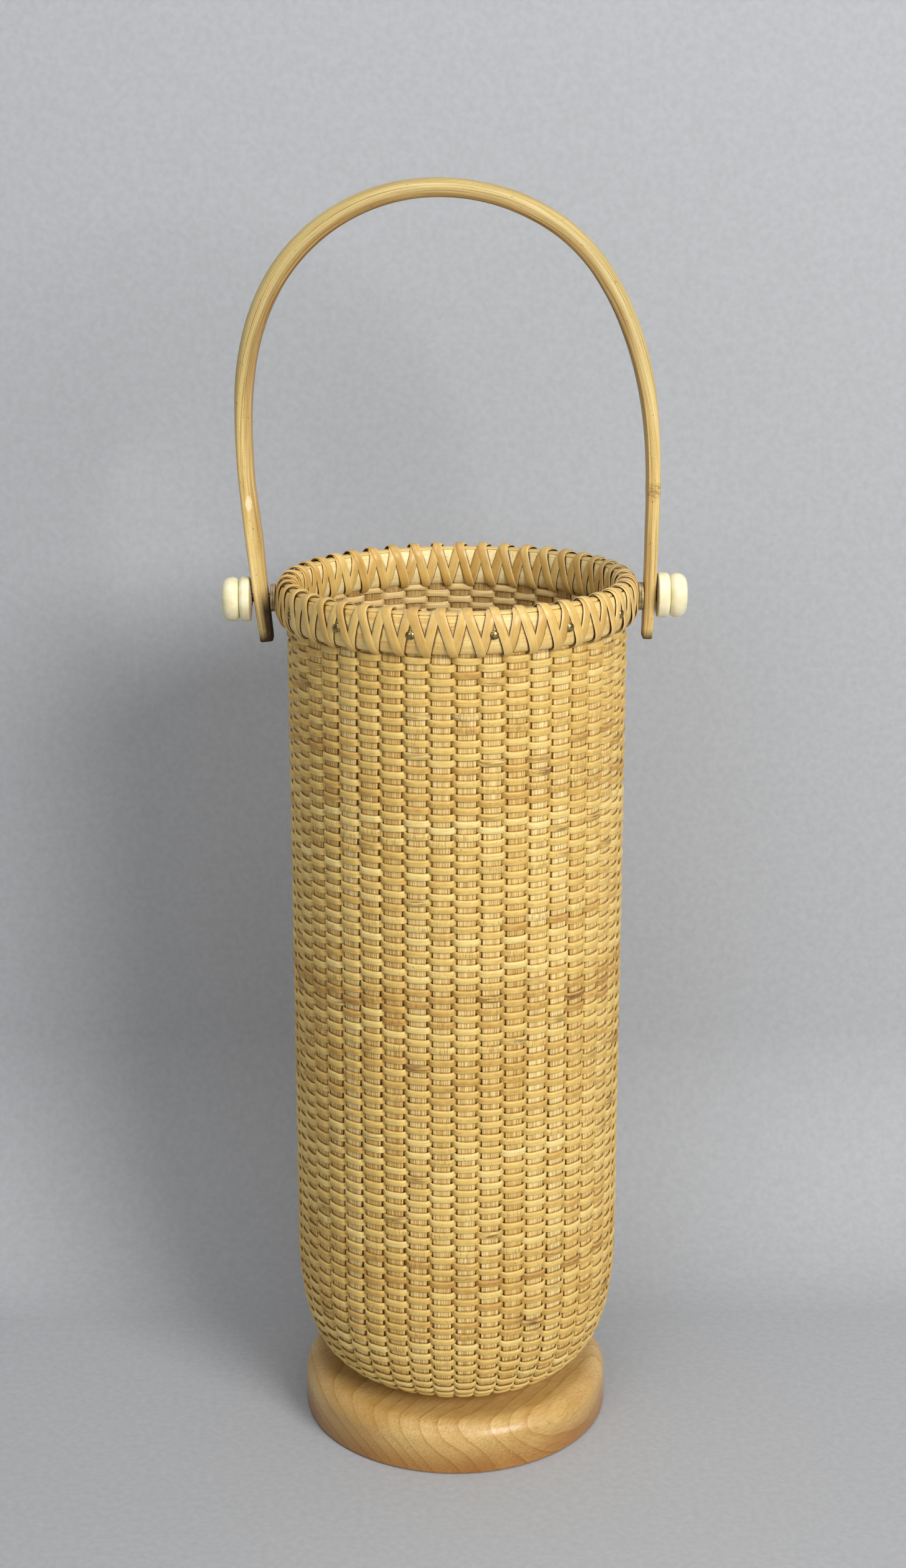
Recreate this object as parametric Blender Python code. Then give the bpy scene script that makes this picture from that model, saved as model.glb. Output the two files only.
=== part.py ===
"""A tall round rib-woven basket on a turned foot, with a swinging bail handle and bone knobs.

Metres, +Z up. The origin is the middle of the foot's underside. +X runs along the handle's pivot line, and an
azimuth is measured from the front, -Y, towards +X.
"""

import math

import bmesh
import bpy
from mathutils import Vector

# Counts
STAVE_COUNT = 43
STAVES_PER_LASHING_LOOP = 2
STAVES_PER_TACK = 3
TURN_STEPS = 48
FOOT_STEPS = 56
KNOB_STEPS = 20
SMALL_STEPS = 8
LOOP_POINTS = 14
LEG_STATIONS = 5
ARCH_STATIONS = 10

# Shared by all pieces
FIT_GAP = 0.0003
CUT_OVERRUN = 0.002
FULL_ROUND_ANGLES_DEG = (0, 30, 60, 90)
EDGE_ROUND_ANGLES_DEG = (0, 45, 90)
SHARP_ANGLE_DEG = 35

# Foot, turned from a solid disc
FOOT_RADIUS = 0.057
FOOT_THICKNESS = 0.0195
FOOT_EDGE_ROUND = 0.007
FOOT_UNDER_CHAMFER = 0.0012

# Screw that holds the base plate to the foot
SCREW_RADIUS = 0.0021
SCREW_HEAD_RADIUS = 0.0046
SCREW_HEAD_HEIGHT = 0.0028
SCREW_SINK = 0.0008
SCREW_BITE = 0.0068
SCREW_SLOT_WIDTH = 0.0011
SCREW_SLOT_DEPTH = 0.0012

# Base plate, with a kerf round its edge for the ends of the staves
PLATE_RADIUS = 0.040
PLATE_UNDER_KERF = 0.0055
PLATE_OVER_KERF = 0.0030
PLATE_KERF_DEPTH = 0.0065
PLATE_EDGE_BEVEL = 0.0010

# Body: staves inside, woven cane over them
BODY_RADIUS = 0.0602
BODY_CURVE_REACH = 0.0147
BODY_CURVE_HEIGHT = 0.0454
WEAVE_THICKNESS = 0.0010
STAVE_THICKNESS = 0.0012
STAVE_WIDTH_SHARE = 0.705
STAVE_ENDS_LENGTH = 0.0022
STAVE_TOP_DROP = 0.0006
CURVE_ANGLES_DEG = (0, 22, 50, 90)

# Rim: two hoops that pinch the staves, a cane cap over their seam, and the lashing round all of them
RIM_HEIGHT = 0.315
HOOP_HEIGHT = 0.0112
HOOP_OUTER_THICKNESS = 0.0033
HOOP_INNER_THICKNESS = 0.0024
HOOP_ROUNDING_POWER = 3
HOOP_FACE_ANGLES_DEG = (-68, -38, 0, 38, 68)
CAP_WIDTH = 0.0040
CAP_THICKNESS = 0.0006
CAP_EDGE_THICKNESS_SHARE = 0.35
CAP_FLAT_SHARE = 0.3
LASHING_WIDTH = 0.0019
LASHING_THICKNESS = 0.0007
LASHING_FLAT_SHARE = 0.6
LASHING_FACE_SHARE = 0.9
LASHING_OUTER_SHIFT_SHARE = 0.54

# Brass tacks through the rim
TACK_HEAD_RADIUS = 0.0015
TACK_HEAD_HEIGHT = 0.0009
TACK_SHANK_RADIUS = 0.0006
TACK_SHANK_LENGTH = 0.0060
TACK_POINT_LENGTH = 0.0010
TACK_STAVE_SHARE = 0.43
DOME_ANGLES_DEG = (30, 62)

# Pivots: a rod in the rim, a thin spacer, the handle's leg, a bone washer and a bone knob
PIN_RADIUS = 0.0015
PIN_RIM_DEPTH = 0.0065
PIN_KNOB_DEPTH = 0.0042
RUNNING_GAP = 0.0003
SPACER_RADIUS = 0.0049
BONE_WASHER_RADIUS = 0.0079
BONE_WASHER_THICKNESS = 0.0040
BONE_WASHER_ROUND = 0.0010
KNOB_RADIUS = 0.00775
KNOB_THICKNESS = 0.0061
KNOB_OUTER_ROUND = 0.0030
KNOB_INNER_ROUND = 0.0016

# Bail handle, bent from one strip
BAIL_CROWN_HEIGHT = 0.458
BAIL_WIDEST_HEIGHT = 0.360
BAIL_LEG_OVERHANG = 0.0155
BAIL_STANDOFF = 0.0071
BAIL_DRAW_IN = 0.0032
BAIL_LEAN = 0.0060
BAIL_END_THICKNESS = 0.0042
BAIL_CROWN_THICKNESS = 0.0060
BAIL_END_WIDTH = 0.0076
BAIL_CROWN_WIDTH = 0.0096
BAIL_SHOULDER_LENGTH = 0.010
BAIL_EDGE_THICKNESS_SHARE = 0.35
BAIL_LEG_EDGE_THICKNESS_SHARE = 0.78
BAIL_EDGE_ROUND_SHARE = 0.12
BAIL_LEG_POWER = 1.4
BAIL_ARCH_POWER = 2.6
BAIL_DOME_POWER = 0.7
BAIL_LEG_DOME_POWER = 0.45
BAIL_DOME_POINTS = 7

# Derived: stave pitch and the shells of the body
STAVE_PITCH = 2 * math.pi / STAVE_COUNT
STAVE_OUTSIDE = WEAVE_THICKNESS + FIT_GAP
STAVE_INSIDE = STAVE_OUTSIDE + STAVE_THICKNESS
KERF_HEIGHT = STAVE_THICKNESS + 2 * FIT_GAP

# Derived: heights from the foot up
PLATE_UNDER = FOOT_THICKNESS + FIT_GAP
KERF_UNDER = PLATE_UNDER + PLATE_UNDER_KERF
PLATE_TOP = KERF_UNDER + KERF_HEIGHT + PLATE_OVER_KERF
WALL_UNDER = KERF_UNDER + FIT_GAP - STAVE_OUTSIDE
CURVE_TOP = WALL_UNDER + BODY_CURVE_HEIGHT
CURVE_RADIUS = BODY_RADIUS - BODY_CURVE_REACH

# Derived: the rim's faces
HOOP_UNDER = RIM_HEIGHT - HOOP_HEIGHT / 2
HOOP_TOP = RIM_HEIGHT + HOOP_HEIGHT / 2
HOOP_OUTER_SEAT = BODY_RADIUS - STAVE_OUTSIDE + FIT_GAP
HOOP_INNER_SEAT = BODY_RADIUS - STAVE_INSIDE - FIT_GAP
HOOP_OUTER_FACE = HOOP_OUTER_SEAT + HOOP_OUTER_THICKNESS
HOOP_INNER_FACE = HOOP_INNER_SEAT - HOOP_INNER_THICKNESS
SEAM_RADIUS = (HOOP_OUTER_SEAT + HOOP_INNER_SEAT) / 2
CAP_UNDER = HOOP_TOP + FIT_GAP
CAP_TOP = CAP_UNDER + CAP_THICKNESS
LASHING_STANDOFF = FIT_GAP + LASHING_THICKNESS / 2
LASHING_OUTSIDE = HOOP_OUTER_FACE + LASHING_STANDOFF
LASHING_INSIDE = HOOP_INNER_FACE - LASHING_STANDOFF
LASHING_ABOVE = CAP_TOP + LASHING_STANDOFF
LASHING_BELOW = HOOP_UNDER - LASHING_STANDOFF
WALL_TOP = LASHING_BELOW - LASHING_THICKNESS / 2 - FIT_GAP
STAVE_TOP = HOOP_TOP - STAVE_TOP_DROP
RIM_OUTSIDE = LASHING_OUTSIDE + LASHING_THICKNESS / 2

# Derived: the bail
BAIL_HALF_WIDTH = RIM_OUTSIDE + BAIL_STANDOFF
BAIL_END_HEIGHT = RIM_HEIGHT - BAIL_LEG_OVERHANG
BAIL_CROWN_CENTRE = BAIL_CROWN_HEIGHT - BAIL_CROWN_THICKNESS / 2


def clear_scene():
    for old in list(bpy.data.objects):
        bpy.data.objects.remove(old, do_unlink=True)


def material(name, colour, roughness, metallic=0.0):
    made = bpy.data.materials.new(name)
    made.use_nodes = True
    shader = made.node_tree.nodes["Principled BSDF"]
    shader.inputs["Base Color"].default_value = (*colour, 1.0)
    shader.inputs["Roughness"].default_value = roughness
    shader.inputs["Metallic"].default_value = metallic
    return made


def add_object(name, points, faces, look):
    mesh = bpy.data.meshes.new(name)
    mesh.from_pydata([tuple(point) for point in points], [], faces)
    work = bmesh.new()
    work.from_mesh(mesh)
    bmesh.ops.recalc_face_normals(work, faces=work.faces)
    work.to_mesh(mesh)
    work.free()
    mesh.shade_smooth()
    mesh.set_sharp_from_angle(angle=math.radians(SHARP_ANGLE_DEG))
    mesh.materials.append(look)
    made = bpy.data.objects.new(name, mesh)
    bpy.context.scene.collection.objects.link(made)
    return made


def add_cutter(name, points, faces):
    cutter = add_object(name, points, faces, LOOKS["brass"])
    cutter.hide_render = True
    cutter.display_type = "WIRE"
    return cutter


def cut(target, cutter):
    boolean = target.modifiers.new("bores", "BOOLEAN")
    boolean.operation = "DIFFERENCE"
    boolean.object = cutter


def turned(outline, steps):
    """Points and faces of a closed outline of (radius, height) turned about Z. A radius of zero is a pole."""
    points, rings = [], []
    for radius, height in outline:
        first = len(points)
        if radius == 0:
            points.append(Vector((0, 0, height)))
            rings.append([first] * steps)
            continue
        for step in range(steps):
            angle = 2 * math.pi * step / steps
            points.append(Vector((radius * math.cos(angle), radius * math.sin(angle), height)))
        rings.append(list(range(first, first + steps)))
    faces = []
    for lower, upper in zip(rings, rings[1:] + rings[:1]):
        for step in range(steps):
            after = (step + 1) % steps
            corners = dict.fromkeys((lower[step], lower[after], upper[after], upper[step]))
            if len(corners) > 2:
                faces.append(tuple(corners))
    return points, faces


def rounded_corner(radius, height, rounding, rise, angles_deg=EDGE_ROUND_ANGLES_DEG):
    """(radius, height) points of an arc, from the side to the top (rise 1) or from the bottom up (rise -1)."""
    arc = []
    for degrees in angles_deg[::rise]:
        angle = math.radians(degrees)
        out = radius - rounding * (1 - math.cos(angle))
        arc.append((out, height - rise * rounding * (1 - math.sin(angle))))
    return arc


def around(azimuth, radius, height):
    return Vector((radius * math.sin(azimuth), -radius * math.cos(azimuth), height))


def gap_azimuth(count):
    """The middle of a gap between staves, counted in stave pitches from the right-hand pivot."""
    return math.pi / 2 + count * STAVE_PITCH


def body_profile(inset, reach_in):
    """(radius, height) up the body's outer form, from the base plate to the curve's top, set in by inset."""
    profile = [(reach_in, WALL_UNDER + inset)]
    for degrees in CURVE_ANGLES_DEG:
        angle = math.radians(degrees)
        out = BODY_CURVE_HEIGHT * math.sin(angle)
        down = BODY_CURVE_REACH * math.cos(angle)
        length = math.hypot(out, down)
        radius = CURVE_RADIUS + BODY_CURVE_REACH * math.sin(angle) - inset * out / length
        height = CURVE_TOP - BODY_CURVE_HEIGHT * math.cos(angle) + inset * down / length
        profile.append((radius, height))
    return profile


def make_foot():
    sink = SCREW_HEAD_HEIGHT + SCREW_SINK
    bore = SCREW_RADIUS + FIT_GAP
    head = SCREW_HEAD_RADIUS + FIT_GAP
    outline = [
        (head, 0),
        (FOOT_RADIUS - FOOT_UNDER_CHAMFER, 0),
        (FOOT_RADIUS, FOOT_UNDER_CHAMFER),
        *rounded_corner(FOOT_RADIUS, FOOT_THICKNESS, FOOT_EDGE_ROUND, 1, FULL_ROUND_ANGLES_DEG),
        (bore, FOOT_THICKNESS),
        (bore, sink + FIT_GAP),
        (head, SCREW_SINK + FIT_GAP),
    ]
    return add_object("foot_disc", *turned(outline, FOOT_STEPS), LOOKS["maple"])


def make_screw():
    head_top = SCREW_SINK + SCREW_HEAD_HEIGHT
    tip = PLATE_UNDER + SCREW_BITE
    outline = [
        (0, SCREW_SINK),
        (SCREW_HEAD_RADIUS, SCREW_SINK),
        (SCREW_RADIUS, head_top),
        (SCREW_RADIUS, tip - SCREW_RADIUS),
        (0, tip),
    ]
    screw = add_object("foot_screw", *turned(outline, 2 * SMALL_STEPS), LOOKS["brass"])
    half = SCREW_SLOT_WIDTH / 2
    reach = SCREW_HEAD_RADIUS + CUT_OVERRUN
    low = SCREW_SINK - CUT_OVERRUN
    high = SCREW_SINK + SCREW_SLOT_DEPTH
    corners = [Vector((x, y, z)) for z in (low, high) for y in (-half, half) for x in (-reach, reach)]
    faces = [(0, 1, 3, 2), (4, 5, 7, 6), (0, 1, 5, 4), (2, 3, 7, 6), (0, 2, 6, 4), (1, 3, 7, 5)]
    cut(screw, add_cutter("screw_slot", corners, faces))
    return screw


def make_base_plate():
    kerf = PLATE_RADIUS - PLATE_KERF_DEPTH
    bore = SCREW_RADIUS + FIT_GAP
    outline = [
        (0, PLATE_TOP),
        (PLATE_RADIUS - PLATE_EDGE_BEVEL, PLATE_TOP),
        (PLATE_RADIUS, PLATE_TOP - PLATE_EDGE_BEVEL),
        (PLATE_RADIUS, KERF_UNDER + KERF_HEIGHT),
        (kerf, KERF_UNDER + KERF_HEIGHT),
        (kerf, KERF_UNDER),
        (PLATE_RADIUS, KERF_UNDER),
        (PLATE_RADIUS, PLATE_UNDER),
        (bore, PLATE_UNDER),
        (bore, PLATE_UNDER + SCREW_BITE + FIT_GAP),
        (0, PLATE_UNDER + SCREW_BITE + FIT_GAP),
    ]
    return add_object("base_plate", *turned(outline, TURN_STEPS), LOOKS["maple"])


def make_woven_wall():
    start = PLATE_RADIUS + STAVE_THICKNESS
    outer = body_profile(0, start) + [(BODY_RADIUS, WALL_TOP)]
    inner = body_profile(WEAVE_THICKNESS, start) + [(BODY_RADIUS - WEAVE_THICKNESS, WALL_TOP)]
    return add_object("woven_wall", *turned(outer + inner[::-1], FOOT_STEPS), LOOKS["cane"])


def make_staves():
    """All staves in one body: their ends lie edge to edge in the kerf, so there they close a ring."""
    ring_start = PLATE_RADIUS - PLATE_KERF_DEPTH + FIT_GAP
    ring_end = ring_start + STAVE_ENDS_LENGTH
    rows = []
    for inset in (STAVE_OUTSIDE, STAVE_INSIDE):
        profile = body_profile(inset, ring_end)
        rows.append([(ring_start, profile[0][1]), *profile, (BODY_RADIUS - inset, STAVE_TOP)])
    row_count = len(rows[0])
    half = STAVE_WIDTH_SHARE * STAVE_PITCH / 2
    points = []
    for stave in range(STAVE_COUNT):
        middle = gap_azimuth(stave) + STAVE_PITCH / 2
        for azimuth in (middle - half, middle + half):
            for side in rows:
                points.extend(around(azimuth, radius, height) for radius, height in side)

    def at(stave, edge, side, row):
        return ((stave % STAVE_COUNT * 2 + edge) * 2 + side) * row_count + row

    faces = []
    for stave in range(STAVE_COUNT):
        for row in range(row_count - 1):
            for side in (0, 1):
                lower, upper = at(stave, 0, side, row), at(stave, 1, side, row)
                faces.append((lower, upper, upper + 1, lower + 1))
            if row == 0:
                continue
            for edge in (0, 1):
                lower, upper = at(stave, edge, 0, row), at(stave, edge, 1, row)
                faces.append((lower, upper, upper + 1, lower + 1))
        for row in (0, row_count - 1):
            end = [at(stave, edge, side, row) for edge, side in ((0, 0), (1, 0), (1, 1), (0, 1))]
            faces.append(tuple(end))
        for side in (0, 1):
            here, there = at(stave, 1, side, 0), at(stave + 1, 0, side, 0)
            faces.append((here, there, there + 1, here + 1))
        for row in (0, 1):
            here = [at(stave, 1, side, row) for side in (1, 0)]
            there = [at(stave + 1, 0, side, row) for side in (0, 1)]
            faces.append(tuple(here + there))
    return add_object("staves", points, faces, LOOKS["stave_wood"])


def hoop_outline(seat, face):
    """A hoop's section: flat on the staves, rounded on its other side."""
    reach = face - SEAM_RADIUS
    power = 2 / HOOP_ROUNDING_POWER
    outline = [(seat, HOOP_UNDER)]
    for degrees in HOOP_FACE_ANGLES_DEG:
        angle = math.radians(degrees)
        rise = math.copysign(abs(math.sin(angle)) ** power, angle) * HOOP_HEIGHT / 2
        outline.append((SEAM_RADIUS + reach * math.cos(angle) ** power, RIM_HEIGHT + rise))
    outline.append((seat, HOOP_TOP))
    return outline


def make_hoops():
    outer = hoop_outline(HOOP_OUTER_SEAT, HOOP_OUTER_FACE)
    inner = hoop_outline(HOOP_INNER_SEAT, HOOP_INNER_FACE)
    return (
        add_object("rim_hoop_outer", *turned(outer, TURN_STEPS), LOOKS["hoop_wood"]),
        add_object("rim_hoop_inner", *turned(inner, TURN_STEPS), LOOKS["hoop_wood"]),
    )


def make_cap_cane():
    half, flat = CAP_WIDTH / 2, CAP_WIDTH / 2 * CAP_FLAT_SHARE
    edge = CAP_UNDER + CAP_THICKNESS * CAP_EDGE_THICKNESS_SHARE
    outline = [
        (SEAM_RADIUS - half, CAP_UNDER),
        (SEAM_RADIUS + half, CAP_UNDER),
        (SEAM_RADIUS + half, edge),
        (SEAM_RADIUS + flat, CAP_TOP),
        (SEAM_RADIUS - flat, CAP_TOP),
        (SEAM_RADIUS - half, edge),
    ]
    return add_object("rim_cap_cane", *turned(outline, TURN_STEPS), LOOKS["cane"])


def lashing_shift(angle):
    """Stave pitches that the lashing has moved along the rim, angle radians after its pass below."""
    power = 2 / HOOP_ROUNDING_POWER
    height_share = math.copysign(abs(math.cos(angle)) ** power, -math.cos(angle))
    climbed = min(max((height_share / LASHING_FACE_SHARE + 1) / 2, 0), 1)
    if angle < math.pi:
        return LASHING_OUTER_SHIFT_SHARE * climbed
    rest = STAVES_PER_LASHING_LOOP - LASHING_OUTER_SHIFT_SHARE
    return LASHING_OUTER_SHIFT_SHARE + rest * (1 - climbed)


def lashing_section_point(azimuth, angle):
    """The lashing's centre line and the way out from the hoops, angle radians after the pass under them."""
    power = 2 / HOOP_ROUNDING_POWER
    out, up = math.sin(angle), -math.cos(angle)
    half_width = (LASHING_OUTSIDE - LASHING_INSIDE) / 2
    half_height = (LASHING_ABOVE - LASHING_BELOW) / 2
    radius = LASHING_INSIDE + half_width * (1 + math.copysign(abs(out) ** power, out))
    height = LASHING_BELOW + half_height * (1 + math.copysign(abs(up) ** power, up))
    normal_out = math.copysign(abs(out) ** (2 - power), out) / half_width
    normal_up = math.copysign(abs(up) ** (2 - power), up) / half_height
    normal = around(azimuth, normal_out, normal_up)
    return around(azimuth, radius, height), normal.normalized()


def make_lashing():
    """One unbroken strip: up the outer hoop, over the cap, down the inner hoop, out through a stave gap."""
    passes = (STAVE_COUNT - 1) // STAVES_PER_LASHING_LOOP
    step = 2 * math.pi / LOOP_POINTS
    centres, normals = [], []
    for number in range((passes - 1) * LOOP_POINTS + 3):
        loop, place = divmod(number - 1, LOOP_POINTS)
        angle = place * step
        gap = STAVE_COUNT - STAVES_PER_LASHING_LOOP * (1 + loop) - lashing_shift(angle)
        if number == 0:
            gap = STAVE_COUNT - STAVES_PER_LASHING_LOOP
        centre, normal = lashing_section_point(gap_azimuth(gap), angle)
        centres.append(centre)
        normals.append(normal)
    half_width, half_thickness = LASHING_WIDTH / 2, LASHING_THICKNESS / 2
    flat = half_width * LASHING_FLAT_SHARE
    section = [
        (half_width, 0),
        (flat, half_thickness),
        (-flat, half_thickness),
        (-half_width, 0),
        (-flat, -half_thickness),
        (flat, -half_thickness),
    ]
    rings = []
    for index, (centre, normal) in enumerate(zip(centres, normals)):
        before = centres[max(index - 1, 0)]
        after = centres[min(index + 1, len(centres) - 1)]
        along = (after - before).normalized()
        away = (normal - along * normal.dot(along)).normalized()
        across = along.cross(away)
        rings.append([centre + across * side + away * rise for side, rise in section])
    least = min(
        (first - second).length
        for index, first in enumerate(centres)
        for second in centres[index + LOOP_POINTS - 2 :]
    )
    print(f"rim_lashing: {passes} passes, least gap to itself {1000 * (least - LASHING_WIDTH):.2f} mm")
    return add_object("rim_lashing", *swept(rings), LOOKS["cane"])


def swept(rings):
    """Points and faces of a tube through rings of points, closed by a flat cap at each end."""
    sides = len(rings[0])
    points = [point for ring in rings for point in ring]
    faces = []
    for ring in range(len(rings) - 1):
        for side in range(sides):
            here, beside = ring * sides + side, ring * sides + (side + 1) % sides
            faces.append((here, beside, beside + sides, here + sides))
    faces.append(tuple(range(sides)))
    faces.append(tuple(range(len(points) - sides, len(points))))
    return points, faces


def bail_share(height):
    return min(max((height - BAIL_END_HEIGHT) / (BAIL_CROWN_CENTRE - BAIL_END_HEIGHT), 0), 1)


def bail_thickness(height):
    return BAIL_END_THICKNESS + (BAIL_CROWN_THICKNESS - BAIL_END_THICKNESS) * math.sqrt(bail_share(height))


def bail_width(height):
    return BAIL_END_WIDTH + (BAIL_CROWN_WIDTH - BAIL_END_WIDTH) * math.sqrt(bail_share(height))


def bail_centre(side, height):
    """The middle of the strip at this height, on the left leg (side -1) or the right leg (side 1)."""
    if height < BAIL_WIDEST_HEIGHT:
        drawn = (BAIL_WIDEST_HEIGHT - height) / (BAIL_WIDEST_HEIGHT - BAIL_END_HEIGHT)
        half_width = BAIL_HALF_WIDTH - BAIL_DRAW_IN * drawn**BAIL_LEG_POWER
    else:
        risen = min((height - BAIL_WIDEST_HEIGHT) / (BAIL_CROWN_CENTRE - BAIL_WIDEST_HEIGHT), 1)
        half_width = BAIL_HALF_WIDTH * math.sqrt(1 - risen**BAIL_ARCH_POWER)
    lean = BAIL_LEAN * (height - RIM_HEIGHT) / (BAIL_CROWN_CENTRE - RIM_HEIGHT)
    return Vector((side * half_width - lean, 0, height))


def bail_line():
    """The strip's centre line, from the left leg's end over the crown to the right leg's end."""
    heights = []
    for station in range(LEG_STATIONS):
        share = station / LEG_STATIONS
        heights.append(BAIL_END_HEIGHT + share * (BAIL_WIDEST_HEIGHT - BAIL_END_HEIGHT))
    for station in range(ARCH_STATIONS + 1):
        risen = math.sin(math.pi / 2 * station / ARCH_STATIONS) ** (2 / BAIL_ARCH_POWER)
        heights.append(BAIL_WIDEST_HEIGHT + risen * (BAIL_CROWN_CENTRE - BAIL_WIDEST_HEIGHT))
    left = [bail_centre(-1, height) for height in heights]
    right = [bail_centre(1, height) for height in heights[-2::-1]]
    return left + right


def bail_section(height):
    """(across, out) shares of the strip's width and thickness: a flat-backed dome, squarer on the legs."""
    flat = min(max((BAIL_WIDEST_HEIGHT - height) / BAIL_SHOULDER_LENGTH, 0), 1)
    edge = BAIL_EDGE_THICKNESS_SHARE + flat * (BAIL_LEG_EDGE_THICKNESS_SHARE - BAIL_EDGE_THICKNESS_SHARE)
    power = BAIL_DOME_POWER + flat * (BAIL_LEG_DOME_POWER - BAIL_DOME_POWER)
    section = []
    for number in range(BAIL_DOME_POINTS):
        angle = math.pi * number / (BAIL_DOME_POINTS - 1)
        rise = edge + (1 - edge) * math.sin(angle) ** power
        section.append((math.cos(angle) / 2, rise - 1 / 2))
    inner = 1 / 2 - BAIL_EDGE_ROUND_SHARE
    return section + [(-inner, -1 / 2), (inner, -1 / 2)]


def make_bail():
    line = bail_line()
    origin = Vector((0, 0, RIM_HEIGHT))
    rings = []
    for index, centre in enumerate(line):
        along = (line[min(index + 1, len(line) - 1)] - line[max(index - 1, 0)]).normalized()
        away = Vector((-along.z, 0, along.x))
        thickness, width = bail_thickness(centre.z), bail_width(centre.z)
        ring = []
        for across, out in bail_section(centre.z):
            ring.append(centre - origin + Vector((0, width * across, 0)) + away * thickness * out)
        rings.append(ring)
    bail = add_object("bail_handle", *swept(rings), LOOKS["handle_wood"])
    bail.location = origin
    return bail


def leg_face(side, reach, outward):
    """How far out the leg's outer (outward 1) or inner (-1) face comes, within reach of the pivot."""
    faces = []
    for end in (-1, 0, 1):
        height = RIM_HEIGHT + end * reach
        centre = abs(bail_centre(side, height).x)
        faces.append(outward * centre + bail_thickness(height) / 2)
    return outward * max(faces)


def place_on_pivot(piece, side, start):
    """Turns a piece modelled along +Z onto the pivot line, with its base at start from the middle."""
    piece.rotation_euler = (0, side * math.pi / 2, 0)
    piece.location = (side * start, 0, RIM_HEIGHT)


def make_pivot(side, word):
    bore = PIN_RADIUS + RUNNING_GAP
    pin_start = HOOP_OUTER_FACE - PIN_RIM_DEPTH
    spacer_start = RIM_OUTSIDE + FIT_GAP
    spacer_end = leg_face(side, SPACER_RADIUS, -1) - RUNNING_GAP
    washer_start = leg_face(side, BONE_WASHER_RADIUS, 1) + RUNNING_GAP
    knob_start = washer_start + BONE_WASHER_THICKNESS + FIT_GAP
    pin_length = knob_start + PIN_KNOB_DEPTH - pin_start
    spacer_length = spacer_end - spacer_start

    pin = [(0, 0), (PIN_RADIUS, 0), (PIN_RADIUS, pin_length), (0, pin_length)]
    made = add_object(f"pivot_pin_{word}", *turned(pin, 2 * SMALL_STEPS), LOOKS["brass"])
    place_on_pivot(made, side, pin_start)

    spacer = [(bore, 0), (SPACER_RADIUS, 0), (SPACER_RADIUS, spacer_length), (bore, spacer_length)]
    made = add_object(f"spacer_washer_{word}", *turned(spacer, 2 * SMALL_STEPS), LOOKS["washer_metal"])
    place_on_pivot(made, side, spacer_start)

    washer = [
        (bore, 0),
        *rounded_corner(BONE_WASHER_RADIUS, 0, BONE_WASHER_ROUND, -1),
        *rounded_corner(BONE_WASHER_RADIUS, BONE_WASHER_THICKNESS, BONE_WASHER_ROUND, 1),
        (bore, BONE_WASHER_THICKNESS),
    ]
    made = add_object(f"bone_washer_{word}", *turned(washer, KNOB_STEPS), LOOKS["bone"])
    place_on_pivot(made, side, washer_start)

    socket = PIN_KNOB_DEPTH + FIT_GAP
    knob = [
        (0, socket),
        (bore, socket),
        (bore, 0),
        *rounded_corner(KNOB_RADIUS, 0, KNOB_INNER_ROUND, -1),
        *rounded_corner(KNOB_RADIUS, KNOB_THICKNESS, KNOB_OUTER_ROUND, 1, FULL_ROUND_ANGLES_DEG),
        (0, KNOB_THICKNESS),
    ]
    made = add_object(f"bone_knob_{word}", *turned(knob, KNOB_STEPS), LOOKS["bone"])
    place_on_pivot(made, side, knob_start)
    return pin_start, knob_start


def tack_azimuths():
    """Every third stave carries a tack, apart from those beside the pivots."""
    per_side = int(STAVE_COUNT / 2 / STAVES_PER_TACK) - 1
    staves = [-1 - STAVES_PER_TACK * number for number in range(per_side, 0, -1)]
    staves += [STAVES_PER_TACK * number for number in range(1, per_side + 1)]
    return [gap_azimuth(stave + TACK_STAVE_SHARE) for stave in staves]


def make_tacks():
    seat = HOOP_OUTER_FACE + FIT_GAP
    outline = [(0, TACK_HEAD_HEIGHT)]
    for degrees in DOME_ANGLES_DEG:
        angle = math.radians(degrees)
        outline.append((TACK_HEAD_RADIUS * math.sin(angle), TACK_HEAD_HEIGHT * math.cos(angle)))
    outline += [
        (TACK_HEAD_RADIUS, 0),
        (TACK_SHANK_RADIUS, 0),
        (TACK_SHANK_RADIUS, TACK_POINT_LENGTH - TACK_SHANK_LENGTH),
        (0, -TACK_SHANK_LENGTH),
    ]
    for number, azimuth in enumerate(tack_azimuths(), 1):
        tack = add_object(f"rim_tack_{number:02d}", *turned(outline, SMALL_STEPS), LOOKS["brass"])
        tack.rotation_euler = (math.pi / 2, 0, azimuth)
        tack.location = around(azimuth, seat, RIM_HEIGHT)


def bore_cutter(pin_start, pin_end):
    """Cylinders for the tacks' shanks and the pivot pins, each along its own radius of the rim."""
    shank = TACK_SHANK_RADIUS + FIT_GAP
    tack_start = HOOP_OUTER_FACE - TACK_SHANK_LENGTH
    tack_end = HOOP_OUTER_FACE + CUT_OVERRUN
    bores = [(azimuth, shank, tack_start, tack_end, SMALL_STEPS) for azimuth in tack_azimuths()]
    pin = PIN_RADIUS + RUNNING_GAP
    for side in (-1, 1):
        bores.append((side * math.pi / 2, pin, pin_start - FIT_GAP, pin_end, 2 * SMALL_STEPS))
    points, faces = [], []
    for azimuth, radius, start, end, steps in bores:
        outline = [(0, start), (radius, start), (radius, end), (0, end)]
        local_points, local_faces = turned(outline, steps)
        along = around(azimuth, 1, 0)
        aside = Vector((0, 0, 1)).cross(along)
        first = len(points)
        for point in local_points:
            points.append(along * point.z + aside * point.x + Vector((0, 0, RIM_HEIGHT + point.y)))
        faces += [tuple(first + corner for corner in face) for face in local_faces]
    return add_cutter("rim_bores", points, faces)


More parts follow.
